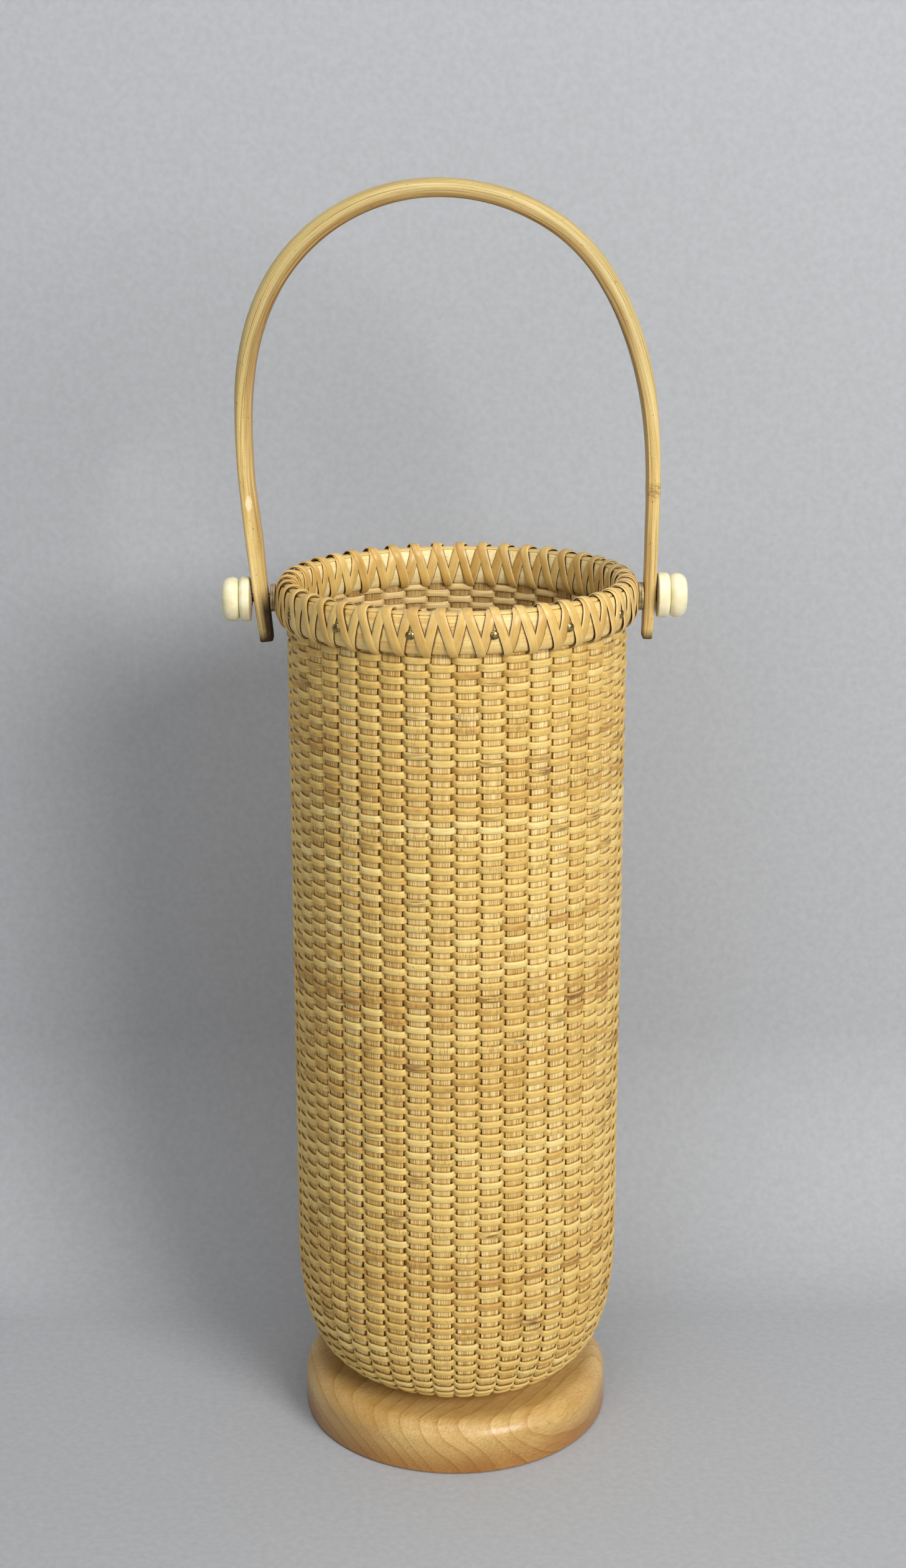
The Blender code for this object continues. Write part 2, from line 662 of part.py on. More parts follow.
def main():
    make_foot()
    make_screw()
    make_base_plate()
    make_woven_wall()
    staves = make_staves()
    outer_hoop, inner_hoop = make_hoops()
    make_cap_cane()
    make_lashing()
    bail = make_bail()
    pivots = [make_pivot(-1, "left"), make_pivot(1, "right")]
    make_tacks()
    cutter = bore_cutter(pivots[0][0], max(knob_start for _, knob_start in pivots))
    for bored in (staves, outer_hoop, inner_hoop, bail):
        cut(bored, cutter)


clear_scene()
LOOKS = {
    "maple": material("maple", (0.52, 0.30, 0.13), 0.35),
    "cane": material("cane", (0.60, 0.42, 0.17), 0.45),
    "stave_wood": material("stave_wood", (0.72, 0.55, 0.27), 0.60),
    "hoop_wood": material("hoop_wood", (0.66, 0.47, 0.20), 0.45),
    "handle_wood": material("handle_wood", (0.55, 0.33, 0.11), 0.40),
    "bone": material("bone", (0.85, 0.79, 0.58), 0.35),
    "brass": material("brass", (0.72, 0.58, 0.30), 0.25, 1.0),
    "washer_metal": material("washer_metal", (0.36, 0.31, 0.24), 0.45, 0.8),
}
main()
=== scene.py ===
"""Looks for a tall round woven basket on a turned foot, with a swinging handle and bone knobs.

Metres, +Z up. An azimuth is measured from the front, -Y, towards +X. Lengths shared with the CAD have the
names that they have there.
"""

import math

import bmesh
import bpy
import numpy as np
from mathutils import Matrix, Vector


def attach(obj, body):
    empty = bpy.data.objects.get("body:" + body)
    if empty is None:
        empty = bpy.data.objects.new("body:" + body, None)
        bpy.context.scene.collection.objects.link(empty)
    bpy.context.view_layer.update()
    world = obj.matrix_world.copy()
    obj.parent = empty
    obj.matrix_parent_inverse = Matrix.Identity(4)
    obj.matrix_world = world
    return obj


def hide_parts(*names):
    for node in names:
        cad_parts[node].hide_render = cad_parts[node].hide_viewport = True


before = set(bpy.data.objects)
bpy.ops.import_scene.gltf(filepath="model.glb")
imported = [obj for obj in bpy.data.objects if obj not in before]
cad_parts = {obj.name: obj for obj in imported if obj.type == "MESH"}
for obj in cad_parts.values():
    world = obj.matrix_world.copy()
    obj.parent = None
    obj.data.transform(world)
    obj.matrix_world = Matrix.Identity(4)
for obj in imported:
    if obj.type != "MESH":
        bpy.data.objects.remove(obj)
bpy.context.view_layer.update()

MM = 0.001

# Sizes shared with the CAD
STAVES = 43
PITCH = 2 * math.pi / STAVES
BODY_RADIUS = 60.2 * MM
CURVE_REACH = 14.7 * MM
CURVE_HEIGHT = 45.4 * MM
WALL_UNDER = 24.3 * MM
CURVE_TOP = WALL_UNDER + CURVE_HEIGHT
CURVE_RADIUS = BODY_RADIUS - CURVE_REACH
WALL_START = 41.2 * MM
WALL_TOP = 308.1 * MM
STAVE_TOP = 320.0 * MM
STAVE_HALF = 0.6 * MM
STAVE_MIDDLE = BODY_RADIUS - 1.9 * MM
RIM_HEIGHT = 315 * MM
PLATE_RADIUS = 40 * MM
STRIP_HALF = 0.28 * MM
STRIP_WIDTH = 3.1 * MM

# Small departures from the CAD that follow the photograph
BASE_LIFT = 1.5 * MM
FOOT_SHIFT = -0.5 * MM


# Meshes

def drift(place, period, seed):
    """Smooth noise from -1 to 1 along place."""
    grid = np.random.default_rng(seed).uniform(-1, 1, int(np.max(place) / period) + 3)
    step = place / period
    cell = np.floor(step).astype(int)
    share = smooth(step - cell)
    return grid[cell] * (1 - share) + grid[cell + 1] * share


def smooth(share):
    """Eases a share from 0 to 1 in and out."""
    return share * share * (3 - 2 * share)


def smooth_step(value, start, end):
    return smooth(np.clip((value - start) / (end - start), 0, 1))


def unit(vectors):
    return vectors / np.linalg.norm(vectors, axis=1)[:, None]


def dot(first, second):
    return np.einsum("ij,ij->i", first, second)[:, None]


def square_to(vectors, ahead):
    """Unit vectors at right angles to ahead."""
    return unit(vectors - ahead * dot(vectors, ahead))


def running_length(points):
    """Length along a line of points, from zero."""
    return np.concatenate([[0], np.cumsum(np.linalg.norm(np.diff(points, axis=0), axis=1))])


def perimeter(section):
    """Running length round a closed section of (across, out) points. The last value is the full length."""
    return running_length(np.vstack([section, section[:1]]))


def corner_uv(u0, u1, v0, v1):
    """UV of the four corners of each quad of a grid."""
    return np.stack([np.stack(pair, -1) for pair in ((u0, v0), (u0, v1), (u1, v1), (u1, v0))], 2)


def end_faces(first, last, sides):
    """The two faces that close a tube. first and last are the points at which its end rings start."""
    return [list(range(first, first + sides))[::-1], list(range(last, last + sides))]


def ribbon(centre, beside, away, section, width, thick):
    """Rings of points along a centre line. section holds shares of the strip's width and half thickness."""
    across = (section[None, :, 0] * width[:, None])[..., None]
    out = (section[None, :, 1] * thick[:, None])[..., None]
    return centre[:, None] + beside[:, None] * across + away[:, None] * out


def make_mesh(name, points, quads, corners_uv, extra=(), attributes=None, bake_uv=None):
    """A mesh object from arrays. extra holds faces of more than four corners, whose UV is zero."""
    corners = points[quads]
    halves = np.cross(corners[:, 1], corners[:, 2]) + np.cross(corners[:, 2], corners[:, 3])
    layers = {"Strand": corners_uv.reshape(-1, 4, 2)}
    if bake_uv is not None:
        layers["OFBake"] = bake_uv.reshape(-1, 4, 2)
    if dot(corners[:, 0], halves).sum() < 0:
        quads = quads[:, ::-1]
        extra = [face[::-1] for face in extra]
        layers = {key: uv[:, ::-1] for key, uv in layers.items()}
    sizes = [4] * len(quads) + [len(face) for face in extra]
    loops = np.concatenate([quads.ravel(), *[np.array(face) for face in extra]]).astype(np.int32)
    mesh = bpy.data.meshes.new(name)
    mesh.vertices.add(len(points))
    mesh.vertices.foreach_set("co", points.astype(np.float32).ravel())
    mesh.loops.add(len(loops))
    mesh.loops.foreach_set("vertex_index", loops)
    mesh.polygons.add(len(sizes))
    mesh.polygons.foreach_set("loop_start", np.concatenate([[0], np.cumsum(sizes)[:-1]]).astype(np.int32))
    for key, uv in layers.items():
        flat = np.zeros((len(loops), 2), np.float32)
        flat[: 4 * len(quads)] = uv.reshape(-1, 2)
        mesh.uv_layers.new(name=key).data.foreach_set("uv", flat.ravel())
    mesh.uv_layers.active = mesh.uv_layers["Strand"]
    for key, values in (attributes or {}).items():
        mesh.attributes.new(key, "FLOAT", "POINT").data.foreach_set("value", values.astype(np.float32))
    mesh.update(calc_edges=True)
    mesh.validate()
    mesh.shade_smooth()
    made = bpy.data.objects.new(name, mesh)
    bpy.context.scene.collection.objects.link(made)
    return made


def tube_arrays(rings, along, about, closed):
    """Quads and their UV for rings (count, sides, 3). about has one value more than there are sides."""
    count, sides = rings.shape[:2]
    rows = count if closed else count - 1
    here = np.arange(rows)[:, None] * sides
    ahead = (np.arange(rows)[:, None] + 1) % count * sides
    side, beside = np.arange(sides)[None], (np.arange(sides)[None] + 1) % sides
    quads = np.stack([here + side, here + beside, ahead + beside, ahead + side], -1).reshape(-1, 4)
    u0, u1 = along[:rows, None] + 0 * side, along[1 : rows + 1, None] + 0 * side
    v0, v1 = about[None, :-1] + 0 * here, about[None, 1:] + 0 * here
    return quads, corner_uv(u0, u1, v0, v1).reshape(-1, 4, 2)


def tube(name, rings, along, about, closed=False, attributes=None):
    """A tube through rings of points. along and about are its UV, in millimetres."""
    quads, uv = tube_arrays(rings, along, about, closed)
    sides = rings.shape[1]
    extra = [] if closed else end_faces(0, (len(rings) - 1) * sides, sides)
    return make_mesh(name, rings.reshape(-1, 3), quads, uv, extra, attributes)


def turned(name, outline, steps=96, wobble=0.0, seed=0):
    """A closed outline of (radius, height) turned about Z. Its UV runs round the turn and the outline."""
    outline = np.array(outline, float)
    angle = np.arange(steps) * 2 * math.pi / steps
    uneven = 1 + wobble * drift(angle, 2 * math.pi / 9, seed) * (1 - np.cos(angle)) / 2
    radius, height = outline[None, :, 0], outline[None, :, 1]
    x = radius * (np.sin(angle) * uneven)[:, None]
    y = -radius * (np.cos(angle) * uneven)[:, None]
    along = np.arange(steps + 1) * 2 * math.pi / steps * outline[:, 0].max()
    rings = np.stack([x, y, height + 0 * angle[:, None]], -1)
    made = tube(name, rings, along / MM, perimeter(outline / MM), True)
    work = bmesh.new()
    work.from_mesh(made.data)
    bmesh.ops.remove_doubles(work, verts=work.verts, dist=1e-7)
    work.to_mesh(made.data)
    work.free()
    made.data.shade_smooth()
    return made


def reshape(piece, change):
    """Moves a piece's points: change gets their places and gives back new ones."""
    places = change(np.array([v.co for v in piece.data.vertices]))
    piece.data.vertices.foreach_set("co", places.astype(np.float32).ravel())
    piece.data.update()
    return piece


def paint(piece, **values):
    """Sets named values on a piece: one for all its points, or one for each point of its outline."""
    for key, value in values.items():
        layer = piece.data.attributes.new(key, "FLOAT", "POINT")
        layer.data.foreach_set("value", np.resize(np.array(value, np.float32), len(piece.data.vertices)))


def sharpen(piece, degrees):
    piece.data.set_sharp_from_angle(angle=math.radians(degrees))
    return piece


def arc(radius, height, rounding, rise, steps=8):
    """A quarter round of (radius, height). Rise 1 goes from side to top, -1 from below to the side."""
    angles = np.linspace(0, math.pi / 2, steps)[::rise]
    return [
        (radius - rounding * (1 - math.cos(a)), height - rise * rounding * (1 - math.sin(a))) for a in angles
    ]


def along_x(piece, side, start):
    """Moves a piece modelled along +Z to the pivot line, its base at start from the middle."""
    turn = np.array([[0, 0, side], [0, 1, 0], [-side, 0, 0]], float)
    return reshape(piece, lambda points: points @ turn.T + [side * start, 0, RIM_HEIGHT])


# Materials

def srgb(red, green, blue):
    """Linear colour from display values of 0 to 255."""
    values = np.array([red, green, blue]) / 255
    linear = np.where(values <= 0.04045, values / 12.92, ((values + 0.055) / 1.055) ** 2.4)
    return (*linear.tolist(), 1.0)


class Look:
    """A material with a short way to add nodes."""

    def __init__(self, name, **fixed):
        self.material = bpy.data.materials.new(name)
        self.material.use_nodes = True
        self.tree = self.material.node_tree
        self.shader = self.tree.nodes["Principled BSDF"]
        for key, value in fixed.items():
            self.shader.inputs[key.replace("_", " ")].default_value = value

    def add(self, kind, inputs=None, **settings):
        node = self.tree.nodes.new("ShaderNode" + kind)
        for key, value in settings.items():
            setattr(node, key, value)
        for key, value in (inputs or {}).items():
            if isinstance(value, bpy.types.NodeSocket):
                self.tree.links.new(value, node.inputs[key])
            else:
                node.inputs[key].default_value = value
        return node

    def uv(self):
        return self.add("UVMap", uv_map="Strand").outputs[0]

    def place(self):
        """The place on the object, in millimetres."""
        return self.stretch(self.add("TexCoord").outputs["Object"], (1 / MM, 1 / MM, 1 / MM))

    def attribute(self, name):
        return self.add("Attribute", attribute_name=name).outputs["Fac"]

    def split(self, vector):
        return self.add("SeparateXYZ", {"Vector": vector}).outputs

    def join(self, x, y, z=0.0):
        return self.add("CombineXYZ", {"X": x, "Y": y, "Z": z}).outputs[0]

    def stretch(self, vector, scale, shift=(0, 0, 0), turn=(0, 0, 0)):
        inputs = {"Vector": vector, "Scale": scale, "Location": shift, "Rotation": turn}
        return self.add("Mapping", inputs).outputs[0]

    def noise(self, vector, scale=1.0, detail=2.0, rough=0.5, bend=0.0):
        inputs = {"Vector": vector, "Scale": scale, "Detail": detail, "Roughness": rough, "Distortion": bend}
        return self.add("TexNoise", inputs).outputs["Fac"]

    def grain(self, vector, scale, detail, rough, bend=0.0, shift=(0, 0, 0), turn=(0, 0, 0)):
        """Noise that is drawn out, because its vector is scaled by another amount each way."""
        return self.noise(self.stretch(vector, scale, shift, turn), 1.0, detail, rough, bend)

    def math(self, how, first, second=0.0, third=0.0):
        return self.add("Math", {0: first, 1: second, 2: third}, operation=how).outputs[0]

    def times(self, first, second):
        return self.math("MULTIPLY", first, second)

    def times_plus(self, first, second, third):
        return self.math("MULTIPLY_ADD", first, second, third)

    def minus(self, first, second):
        return self.math("SUBTRACT", first, second)

    def sway(self, noise, size, value):
        """A value that a noise round 0.5 moves up and down."""
        return self.times_plus(self.minus(noise, 0.5), size, value)

    def span(self, value, low, high, to_low=0.0, to_high=1.0):
        inputs = {"Value": value, "From Min": low, "From Max": high, "To Min": to_low, "To Max": to_high}
        return self.add("MapRange", inputs, interpolation_type="SMOOTHSTEP").outputs[0]

    def mix(self, share, first, second, how="MIX"):
        inputs = {0: share, 6: first, 7: second}
        return self.add("Mix", inputs, data_type="RGBA", blend_type=how).outputs[2]

    def tint(self, colour, share, shade, how="MIX"):
        return self.mix(share, colour, srgb(*shade), how)

    def veil(self, colour, share, value, low, shade):
        """Multiplies a colour by a shade where value is low, and by white from 0.6 up."""
        return self.mix(share, colour, self.ramp(value, (low, shade), (0.6, (255, 255, 255))), "MULTIPLY")

    def ramp(self, value, *stops):
        node = self.add("ValToRGB", {"Fac": value})
        spots = node.color_ramp.elements
        while len(spots) < len(stops):
            spots.new(0.5)
        for spot, (place, colour) in zip(spots, stops):
            spot.position = place
            spot.color = srgb(*colour)
        return node.outputs["Color"]

    def finish(self, colour, roughness=None, height=None, depth=0.1 * MM, strength=1.0):
        self.tree.links.new(colour, self.shader.inputs["Base Color"])
        if roughness is not None:
            self.tree.links.new(roughness, self.shader.inputs["Roughness"])
        if height is not None:
            bump = self.add("Bump", {"Height": height, "Distance": depth, "Strength": strength})
            self.tree.links.new(bump.outputs[0], self.shader.inputs["Normal"])
        return self.material


def weaver_look():
    """Split cane. UV is in millimetres: along the strand, and round it from the middle of its back."""
    look = Look("weaver_cane", Specular_IOR_Level=0.35)
    uv, tone = look.uv(), look.attribute("tone")
    fibre = look.grain(uv, (0.10, 3.2, 1), 4, 0.65)
    mottle = look.grain(uv, (0.35, 0.5, 1), 3, 0.6)
    level = look.sway(mottle, 0.5, tone)
    colour = look.ramp(
        level, (0.0, (158, 106, 42)), (0.26, (200, 156, 76)), (0.5, (226, 191, 106)),
        (0.75, (238, 210, 130)), (1.0, (246, 228, 162)),
    )
    colour = look.veil(colour, 0.6, fibre, 0.3, (190, 168, 132))
    crack_lines = look.grain(uv, (2.3, 0.2, 1), 2, 0.5, 0.3, turn=(0, 0, 0.16))
    crack = look.times(look.span(crack_lines, 0.50, 0.62), look.attribute("crack"))
    colour = look.tint(colour, look.times(crack, 0.5), (136, 92, 44))
    dash_field = look.grain(uv, (1.15, 1.5, 1), 1, 0.5, turn=(0, 0, 0.3))
    patches = look.grain(uv, (0.021, 0.3, 1), 1, 0.5, shift=(4, 2, 0))
    dash = look.times(look.span(dash_field, 0.66, 0.72), look.span(patches, 0.5, 0.6))
    colour = look.tint(colour, look.times(dash, 0.8), (104, 70, 34))
    scorch = look.grain(uv, (0.13, 1.1, 1), 3, 0.6, shift=(6, 1, 0))
    stain = look.times(look.attribute("stain"), look.span(scorch, 0.42, 0.54))
    colour = look.tint(colour, stain, (104, 60, 20))
    # edge pales the strand's shoulders: partly the cane's paler edge, partly a painted highlight.
    colour = look.tint(colour, look.times(look.attribute("edge"), 0.22), (243, 219, 155))
    back = look.attribute("back")
    threads = look.grain(uv, (0.06, 5.0, 1), 3, 0.6, shift=(0, 9, 0))
    pith = look.ramp(threads, (0.35, (188, 150, 88)), (0.5, (228, 198, 134)), (0.68, (247, 226, 170)))
    colour = look.mix(back, colour, pith)
    # Painted shade: the strand's face is darkened where it dives behind a stave, where shade falls.
    dark = look.times(look.attribute("dive"), look.span(mottle, 0.2, 0.6, 1.0, 0.8))
    colour = look.tint(colour, dark, (118, 78, 32), "MULTIPLY")
    grit = look.grain(uv, (2.6, 2.6, 1), 2, 0.6, shift=(2, 3, 0))
    colour = look.tint(colour, look.span(grit, 0.6, 0.7, 0.0, 0.3), (170, 126, 62))
    height = look.minus(look.times(look.mix(back, fibre, threads), 0.6), crack)
    height = look.times_plus(grit, 0.8, height)
    rough = look.span(fibre, 0.2, 0.8, 0.56, 0.44)
    return look.finish(colour, rough, height, 0.07 * MM, 0.8)


def stave_look():
    """Ribs of split cane: strong fibres along the rib. UV is in millimetres, across and along."""
    look = Look("rib_wood", Specular_IOR_Level=0.3)
    uv, tone = look.uv(), look.attribute("tone")
    parts = look.split(uv)
    field = look.join(parts["X"], parts["Y"], look.times(tone, 60.0))
    fine = look.grain(field, (2.2, 0.03, 1), 2, 0.6)
    lines = look.grain(field, (3.6, 0.05, 1), 2, 0.5, shift=(7, 3, 0))
    broad = look.grain(field, (0.5, 0.02, 1), 2, 0.5)
    fleck = look.grain(field, (4.0, 0.5, 1), 2, 0.6)
    level = look.sway(tone, 0.34, fine)
    level = look.sway(broad, 0.35, level)
    level = look.sway(fleck, 0.25, level)
    colour = look.ramp(
        level, (0.26, (204, 162, 86)), (0.42, (226, 190, 112)),
        (0.56, (238, 209, 136)), (0.74, (246, 225, 164)),
    )
    groove = look.span(lines, 0.53, 0.60)
    colour = look.tint(colour, look.times(groove, 0.5), (170, 126, 58))
    colour = look.tint(colour, look.span(lines, 0.42, 0.35, 0.0, 0.5), (247, 228, 174))
    # Painted shade: dark brown lines on each rib beside the edges of the strands that pass over it, where
    # their shade falls.
    beside = look.math("PINGPONG", look.attribute("row"), 1.0)
    shade = look.times(look.span(beside, 0.74, 0.56), look.span(fleck, 0.3, 0.6, 1.0, 0.7))
    colour = look.tint(colour, look.times(shade, 0.72), (140, 92, 34))
    height = look.minus(look.times_plus(fleck, 0.3, fine), groove)
    rough = look.span(fine, 0.3, 0.7, 0.68, 0.52)
    return look.finish(colour, rough, height, 0.12 * MM, 0.9)


def lashing_look():
    """Flat cane wound round the rim. UV is in millimetres: along the strip, and round it from one edge."""
    look = Look("lashing_cane", Specular_IOR_Level=0.5)
    uv, tone = look.uv(), look.attribute("tone")
    grain = look.grain(uv, (0.09, 2.6, 1), 4, 0.6)
    mottle = look.grain(uv, (0.16, 0.3, 1), 3, 0.6)
    level = look.sway(mottle, 0.6, tone)
    colour = look.ramp(
        level, (0.0, (156, 108, 43)), (0.35, (201, 158, 80)),
        (0.65, (222, 185, 106)), (1.0, (239, 211, 137)),
    )
    colour = look.veil(colour, 0.4, grain, 0.3, (196, 180, 156))
    edge = look.attribute("edge")
    # edge pales one edge of the strip: partly the cane's paler cut edge, partly a painted highlight.
    colour = look.tint(colour, look.times(edge, 0.8), (246, 224, 168))
    # Painted shade: the strip's lower corners, where it sits on the hoop, are darkened nearly to brown
    # black.
    colour = look.tint(colour, look.times(look.attribute("seat"), 0.96), (84, 50, 16))
    pores = look.noise(look.stretch(uv, (0.8, 3.0, 1)), 1.6, 1, 0.5)
    colour = look.tint(colour, look.span(pores, 0.70, 0.76, 0.0, 0.5), (120, 82, 40))
    rough = look.span(grain, 0.2, 0.8, 0.44, 0.32)
    return look.finish(colour, rough, grain, 0.04 * MM, 0.7)


def hoop_look():
    """Smooth pale wood with grain along it, and painted shade in dark lines beside the lashing. UV is in
    millimetres.
    """
    look = Look("hoop_wood", Specular_IOR_Level=0.45)
    uv = look.uv()
    grain = look.grain(uv, (0.05, 1.5, 1), 5, 0.65, 0.3)
    broad = look.grain(uv, (0.02, 0.25, 1), 2, 0.5)
    level = look.times_plus(broad, 0.6, look.times_plus(grain, 0.6, look.attribute("tone")))
    colour = look.ramp(
        level, (0.40, (196, 152, 80)), (0.52, (221, 182, 106)),
        (0.66, (236, 205, 132)), (0.82, (247, 226, 164)),
    )
    ray = look.grain(uv, (2.8, 0.35, 1), 2, 0.5)
    colour = look.tint(colour, look.span(ray, 0.52, 0.66, 0.0, 0.2), (150, 104, 48))
    dash = look.grain(uv, (0.35, 3.2, 1), 2, 0.5)
    colour = look.tint(colour, look.span(dash, 0.62, 0.70, 0.0, 0.4), (140, 96, 42))
    # Painted shade: dark brown lines on the hoop beside each lashing strip, where the strip's shade falls.
    pitch = look.attribute("pitch")
    along = look.minus(look.math("DIVIDE", look.split(uv)["X"], pitch), STAVES / 4)
    first = look.math("PINGPONG", look.minus(along, look.attribute("first")), 0.5)
    second = look.math("PINGPONG", look.minus(along, look.attribute("second")), 0.5)
    beside = look.times(look.math("MINIMUM", first, second), pitch)
    uneven = look.grain(uv, (0.4, 0.4, 1), 2, 0.5, shift=(5, 7, 0))
    beside = look.sway(uneven, 0.5, beside)
    half = STRIP_WIDTH / MM / 2
    shade = look.span(beside, half + 0.8, half + 0.1, 0.0, 0.95)
    colour = look.tint(colour, shade, (96, 56, 16))
    rough = look.span(grain, 0.2, 0.8, 0.46, 0.34)
    return look.finish(colour, rough, grain, 0.05 * MM, 0.6)


def handle_look():
    """Bent wood with long streaks, flecks and darker cut ends. UV is in millimetres: along and round."""
    look = Look("handle_wood", Specular_IOR_Level=0.4)
    uv = look.uv()
    streak = look.grain(uv, (0.016, 1.7, 1), 4, 0.75)
    line = look.grain(uv, (0.012, 2.8, 1), 2, 0.55, shift=(3, 5, 0))
    broad = look.grain(uv, (0.03, 0.4, 1), 3, 0.55)
    level = look.sway(broad, 0.45, streak)
    colour = look.ramp(
        level, (0.26, (164, 130, 67)), (0.42, (208, 176, 105)),
        (0.58, (229, 200, 131)), (0.76, (241, 218, 159)),
    )
    colour = look.tint(colour, look.span(line, 0.60, 0.68, 0.0, 0.6), (249, 230, 176))
    colour = look.tint(colour, look.span(line, 0.42, 0.33, 0.0, 0.7), (134, 96, 40))
    fleck = look.grain(uv, (0.6, 2.2, 1), 2, 0.5)
    colour = look.tint(colour, look.span(fleck, 0.66, 0.73, 0.0, 0.7), (112, 78, 34))
    # Painted shade: the strip's inner face, which faces down and in, is darkened, most over the bow.
    inner = look.times(look.attribute("inner"), look.span(streak, 0.3, 0.65, 1.0, 0.55))
    colour = look.tint(colour, inner, (172, 134, 80), "MULTIPLY")
    grit = look.grain(uv, (1.5, 2.6, 1), 3, 0.7, shift=(2, 3, 0))
    colour = look.tint(colour, look.span(grit, 0.56, 0.70, 0.0, 0.4), (150, 112, 54))
    # Painted shade: the whole bow is darkened a little against the legs.
    colour = look.tint(colour, look.attribute("bow"), (225, 229, 231), "MULTIPLY")
    place = look.split(look.place())
    front = look.span(place["Y"], -2.6, -3.4)
    wrinkle = look.grain(uv, (1.5, 1.0, 1), 4, 0.7, 0.6, shift=(1, 8, 0))
    aside = look.math("DIVIDE", look.minus(place["X"], FACET_PLACE[0] / MM), 1.2)
    above = look.math("DIVIDE", look.minus(place["Z"], FACET_PLACE[1] / MM), 2.9)
    reach = look.times_plus(aside, aside, look.times(above, above))
    reach = look.sway(wrinkle, 1.6, reach)
    # Painted highlight: a soft pale patch on the front face of the left leg's flat facet.
    pale = look.times(look.span(reach, 1.3, 0.3), front)
    colour = look.tint(colour, look.times(pale, 0.72), (252, 233, 186))
    above = look.math("ABSOLUTE", look.minus(place["Z"], KNUCKLE_HEIGHT / MM))
    node = look.times(look.span(above, 3.6, 1.2), look.span(place["X"], 0.0, 1.0))
    mark = look.times(look.times(node, front), look.span(wrinkle, 0.46, 0.56))
    colour = look.tint(colour, look.times(mark, 0.55), (128, 88, 40))
    worn = look.grain(uv, (0.12, 0.3, 1), 2, 0.5)
    soot = look.times(look.attribute("soot"), look.span(worn, 0.3, 0.6, 0.93, 1.0))
    colour = look.tint(colour, soot, (50, 31, 15))
    height = look.times_plus(mark, -1.5, look.math("ADD", streak, line))
    rough = look.math("MAXIMUM", look.span(streak, 0.2, 0.8, 0.52, 0.38), look.times(soot, 0.85))
    return look.finish(colour, rough, height, 0.06 * MM, 0.8)


def maple_look():
    """Turned maple: arched growth lines of a board cut along the trunk, under a soft varnish."""
    look = Look("maple", Specular_IOR_Level=0.5, Coat_Weight=0.3, Coat_Roughness=0.38)
    place = look.place()
    turn = (math.radians(8), math.radians(12), math.radians(-38))
    board = look.stretch(place, (1, 1, 1), (14, -38, 6), turn)
    parts = look.split(board)
    sway = look.grain(place, (0.014, 0.014, 0.014), 3, 0.5)
    across = look.sway(sway, 17.0, parts["Y"])
    depth = look.times_plus(parts["Z"], 0.85, 34.0)
    along = look.times(parts["X"], 0.24)
    square = look.times_plus(across, across, look.times(depth, depth))
    trunk = look.math("ADD", look.math("SQRT", square), along)
    wide = look.noise(look.join(trunk, 0.0), 0.11, 2, 0.5)
    rings = look.math("FRACT", look.times_plus(wide, 1.6, look.math("DIVIDE", trunk, 4.3)))
    line = look.ramp(
        rings, (0.0, (221, 188, 121)), (0.70, (216, 180, 110)), (0.90, (206, 167, 96)),
        (0.96, (190, 148, 80)), (1.0, (221, 188, 121)),
    )
    fine = look.math("FRACT", look.math("DIVIDE", trunk, 1.35))
    line = look.tint(line, look.span(fine, 0.7, 0.95, 0.0, 0.14), (176, 128, 66))
    pores = look.grain(board, (0.14, 2.0, 2.0), 4, 0.7)
    colour = look.veil(line, 0.7, pores, 0.32, (206, 184, 150))
    cloud = look.grain(place, (0.035, 0.035, 0.06), 3, 0.55)
    colour = look.tint(colour, look.span(cloud, 0.4, 0.7, 0.0, 0.45), (176, 128, 62))
    fleck = look.grain(board, (0.3, 2.4, 2.4), 1, 0.5)
    colour = look.tint(colour, look.span(fleck, 0.68, 0.74, 0.0, 0.45), (120, 78, 36))
    scratch = look.grain(place, (0.16, 3.0, 0.4), 1, 0.5, 0.2, turn=(0, 0, 0.7))
    patch = look.grain(place, (0.05, 0.05, 0.05), 1, 0.5, shift=(2, 0, 0))
    scratch = look.times(look.span(scratch, 0.70, 0.74), look.span(patch, 0.52, 0.6))
    colour = look.tint(colour, look.times(scratch, 0.5), (240, 212, 160))
    # Painted shade: the foot is darkened towards the floor, below 14 mm.
    low = look.span(look.split(place)["Z"], 14.0, 1.0, 0.0, 1.0)
    colour = look.tint(colour, low, (212, 184, 146), "MULTIPLY")
    rough = look.span(pores, 0.3, 0.7, 0.44, 0.32)
    return look.finish(colour, rough, pores, 0.03 * MM, 0.6)


def bone_look():
    look = Look("bone", Specular_IOR_Level=0.5, Subsurface_Weight=0.25, Subsurface_Scale=0.0015)
    place = look.place()
    cloud = look.noise(place, 0.16, 3, 0.55)
    colour = look.ramp(cloud, (0.3, (228, 218, 171)), (0.5, (238, 231, 193)), (0.7, (243, 239, 209)))
    grain = look.grain(place, (0.3, 2.5, 2.5), 3, 0.6)
    colour = look.veil(colour, 0.3, grain, 0.3, (228, 220, 200))
    # Painted shade: brown on the washer's inner face against the leg, where shade falls.
    colour = look.tint(colour, look.attribute("grime"), (150, 112, 52))
    rough = look.span(grain, 0.3, 0.7, 0.42, 0.3)
    return look.finish(colour, rough, grain, 0.03 * MM, 0.5)


def brass_look(name, bright):
    """Tarnished brass. Where bright is under 1 the whole colour is darker: a shaded copy, which is painted
    shade.
    """
    look = Look(name, Metallic=1.0)
    place = look.place()
    tarnish = look.noise(place, 0.9, 4, 0.65)
    stops = ((0.34, (92, 74, 44)), (0.52, (156, 134, 84)), (0.68, (206, 186, 128)))
    colour = look.ramp(tarnish, *[(spot, [value * bright for value in shade]) for spot, shade in stops])
    rough = look.span(tarnish, 0.35, 0.65, 0.42, 0.2)
    return look.finish(colour, rough, tarnish, 0.03 * MM, 0.5)


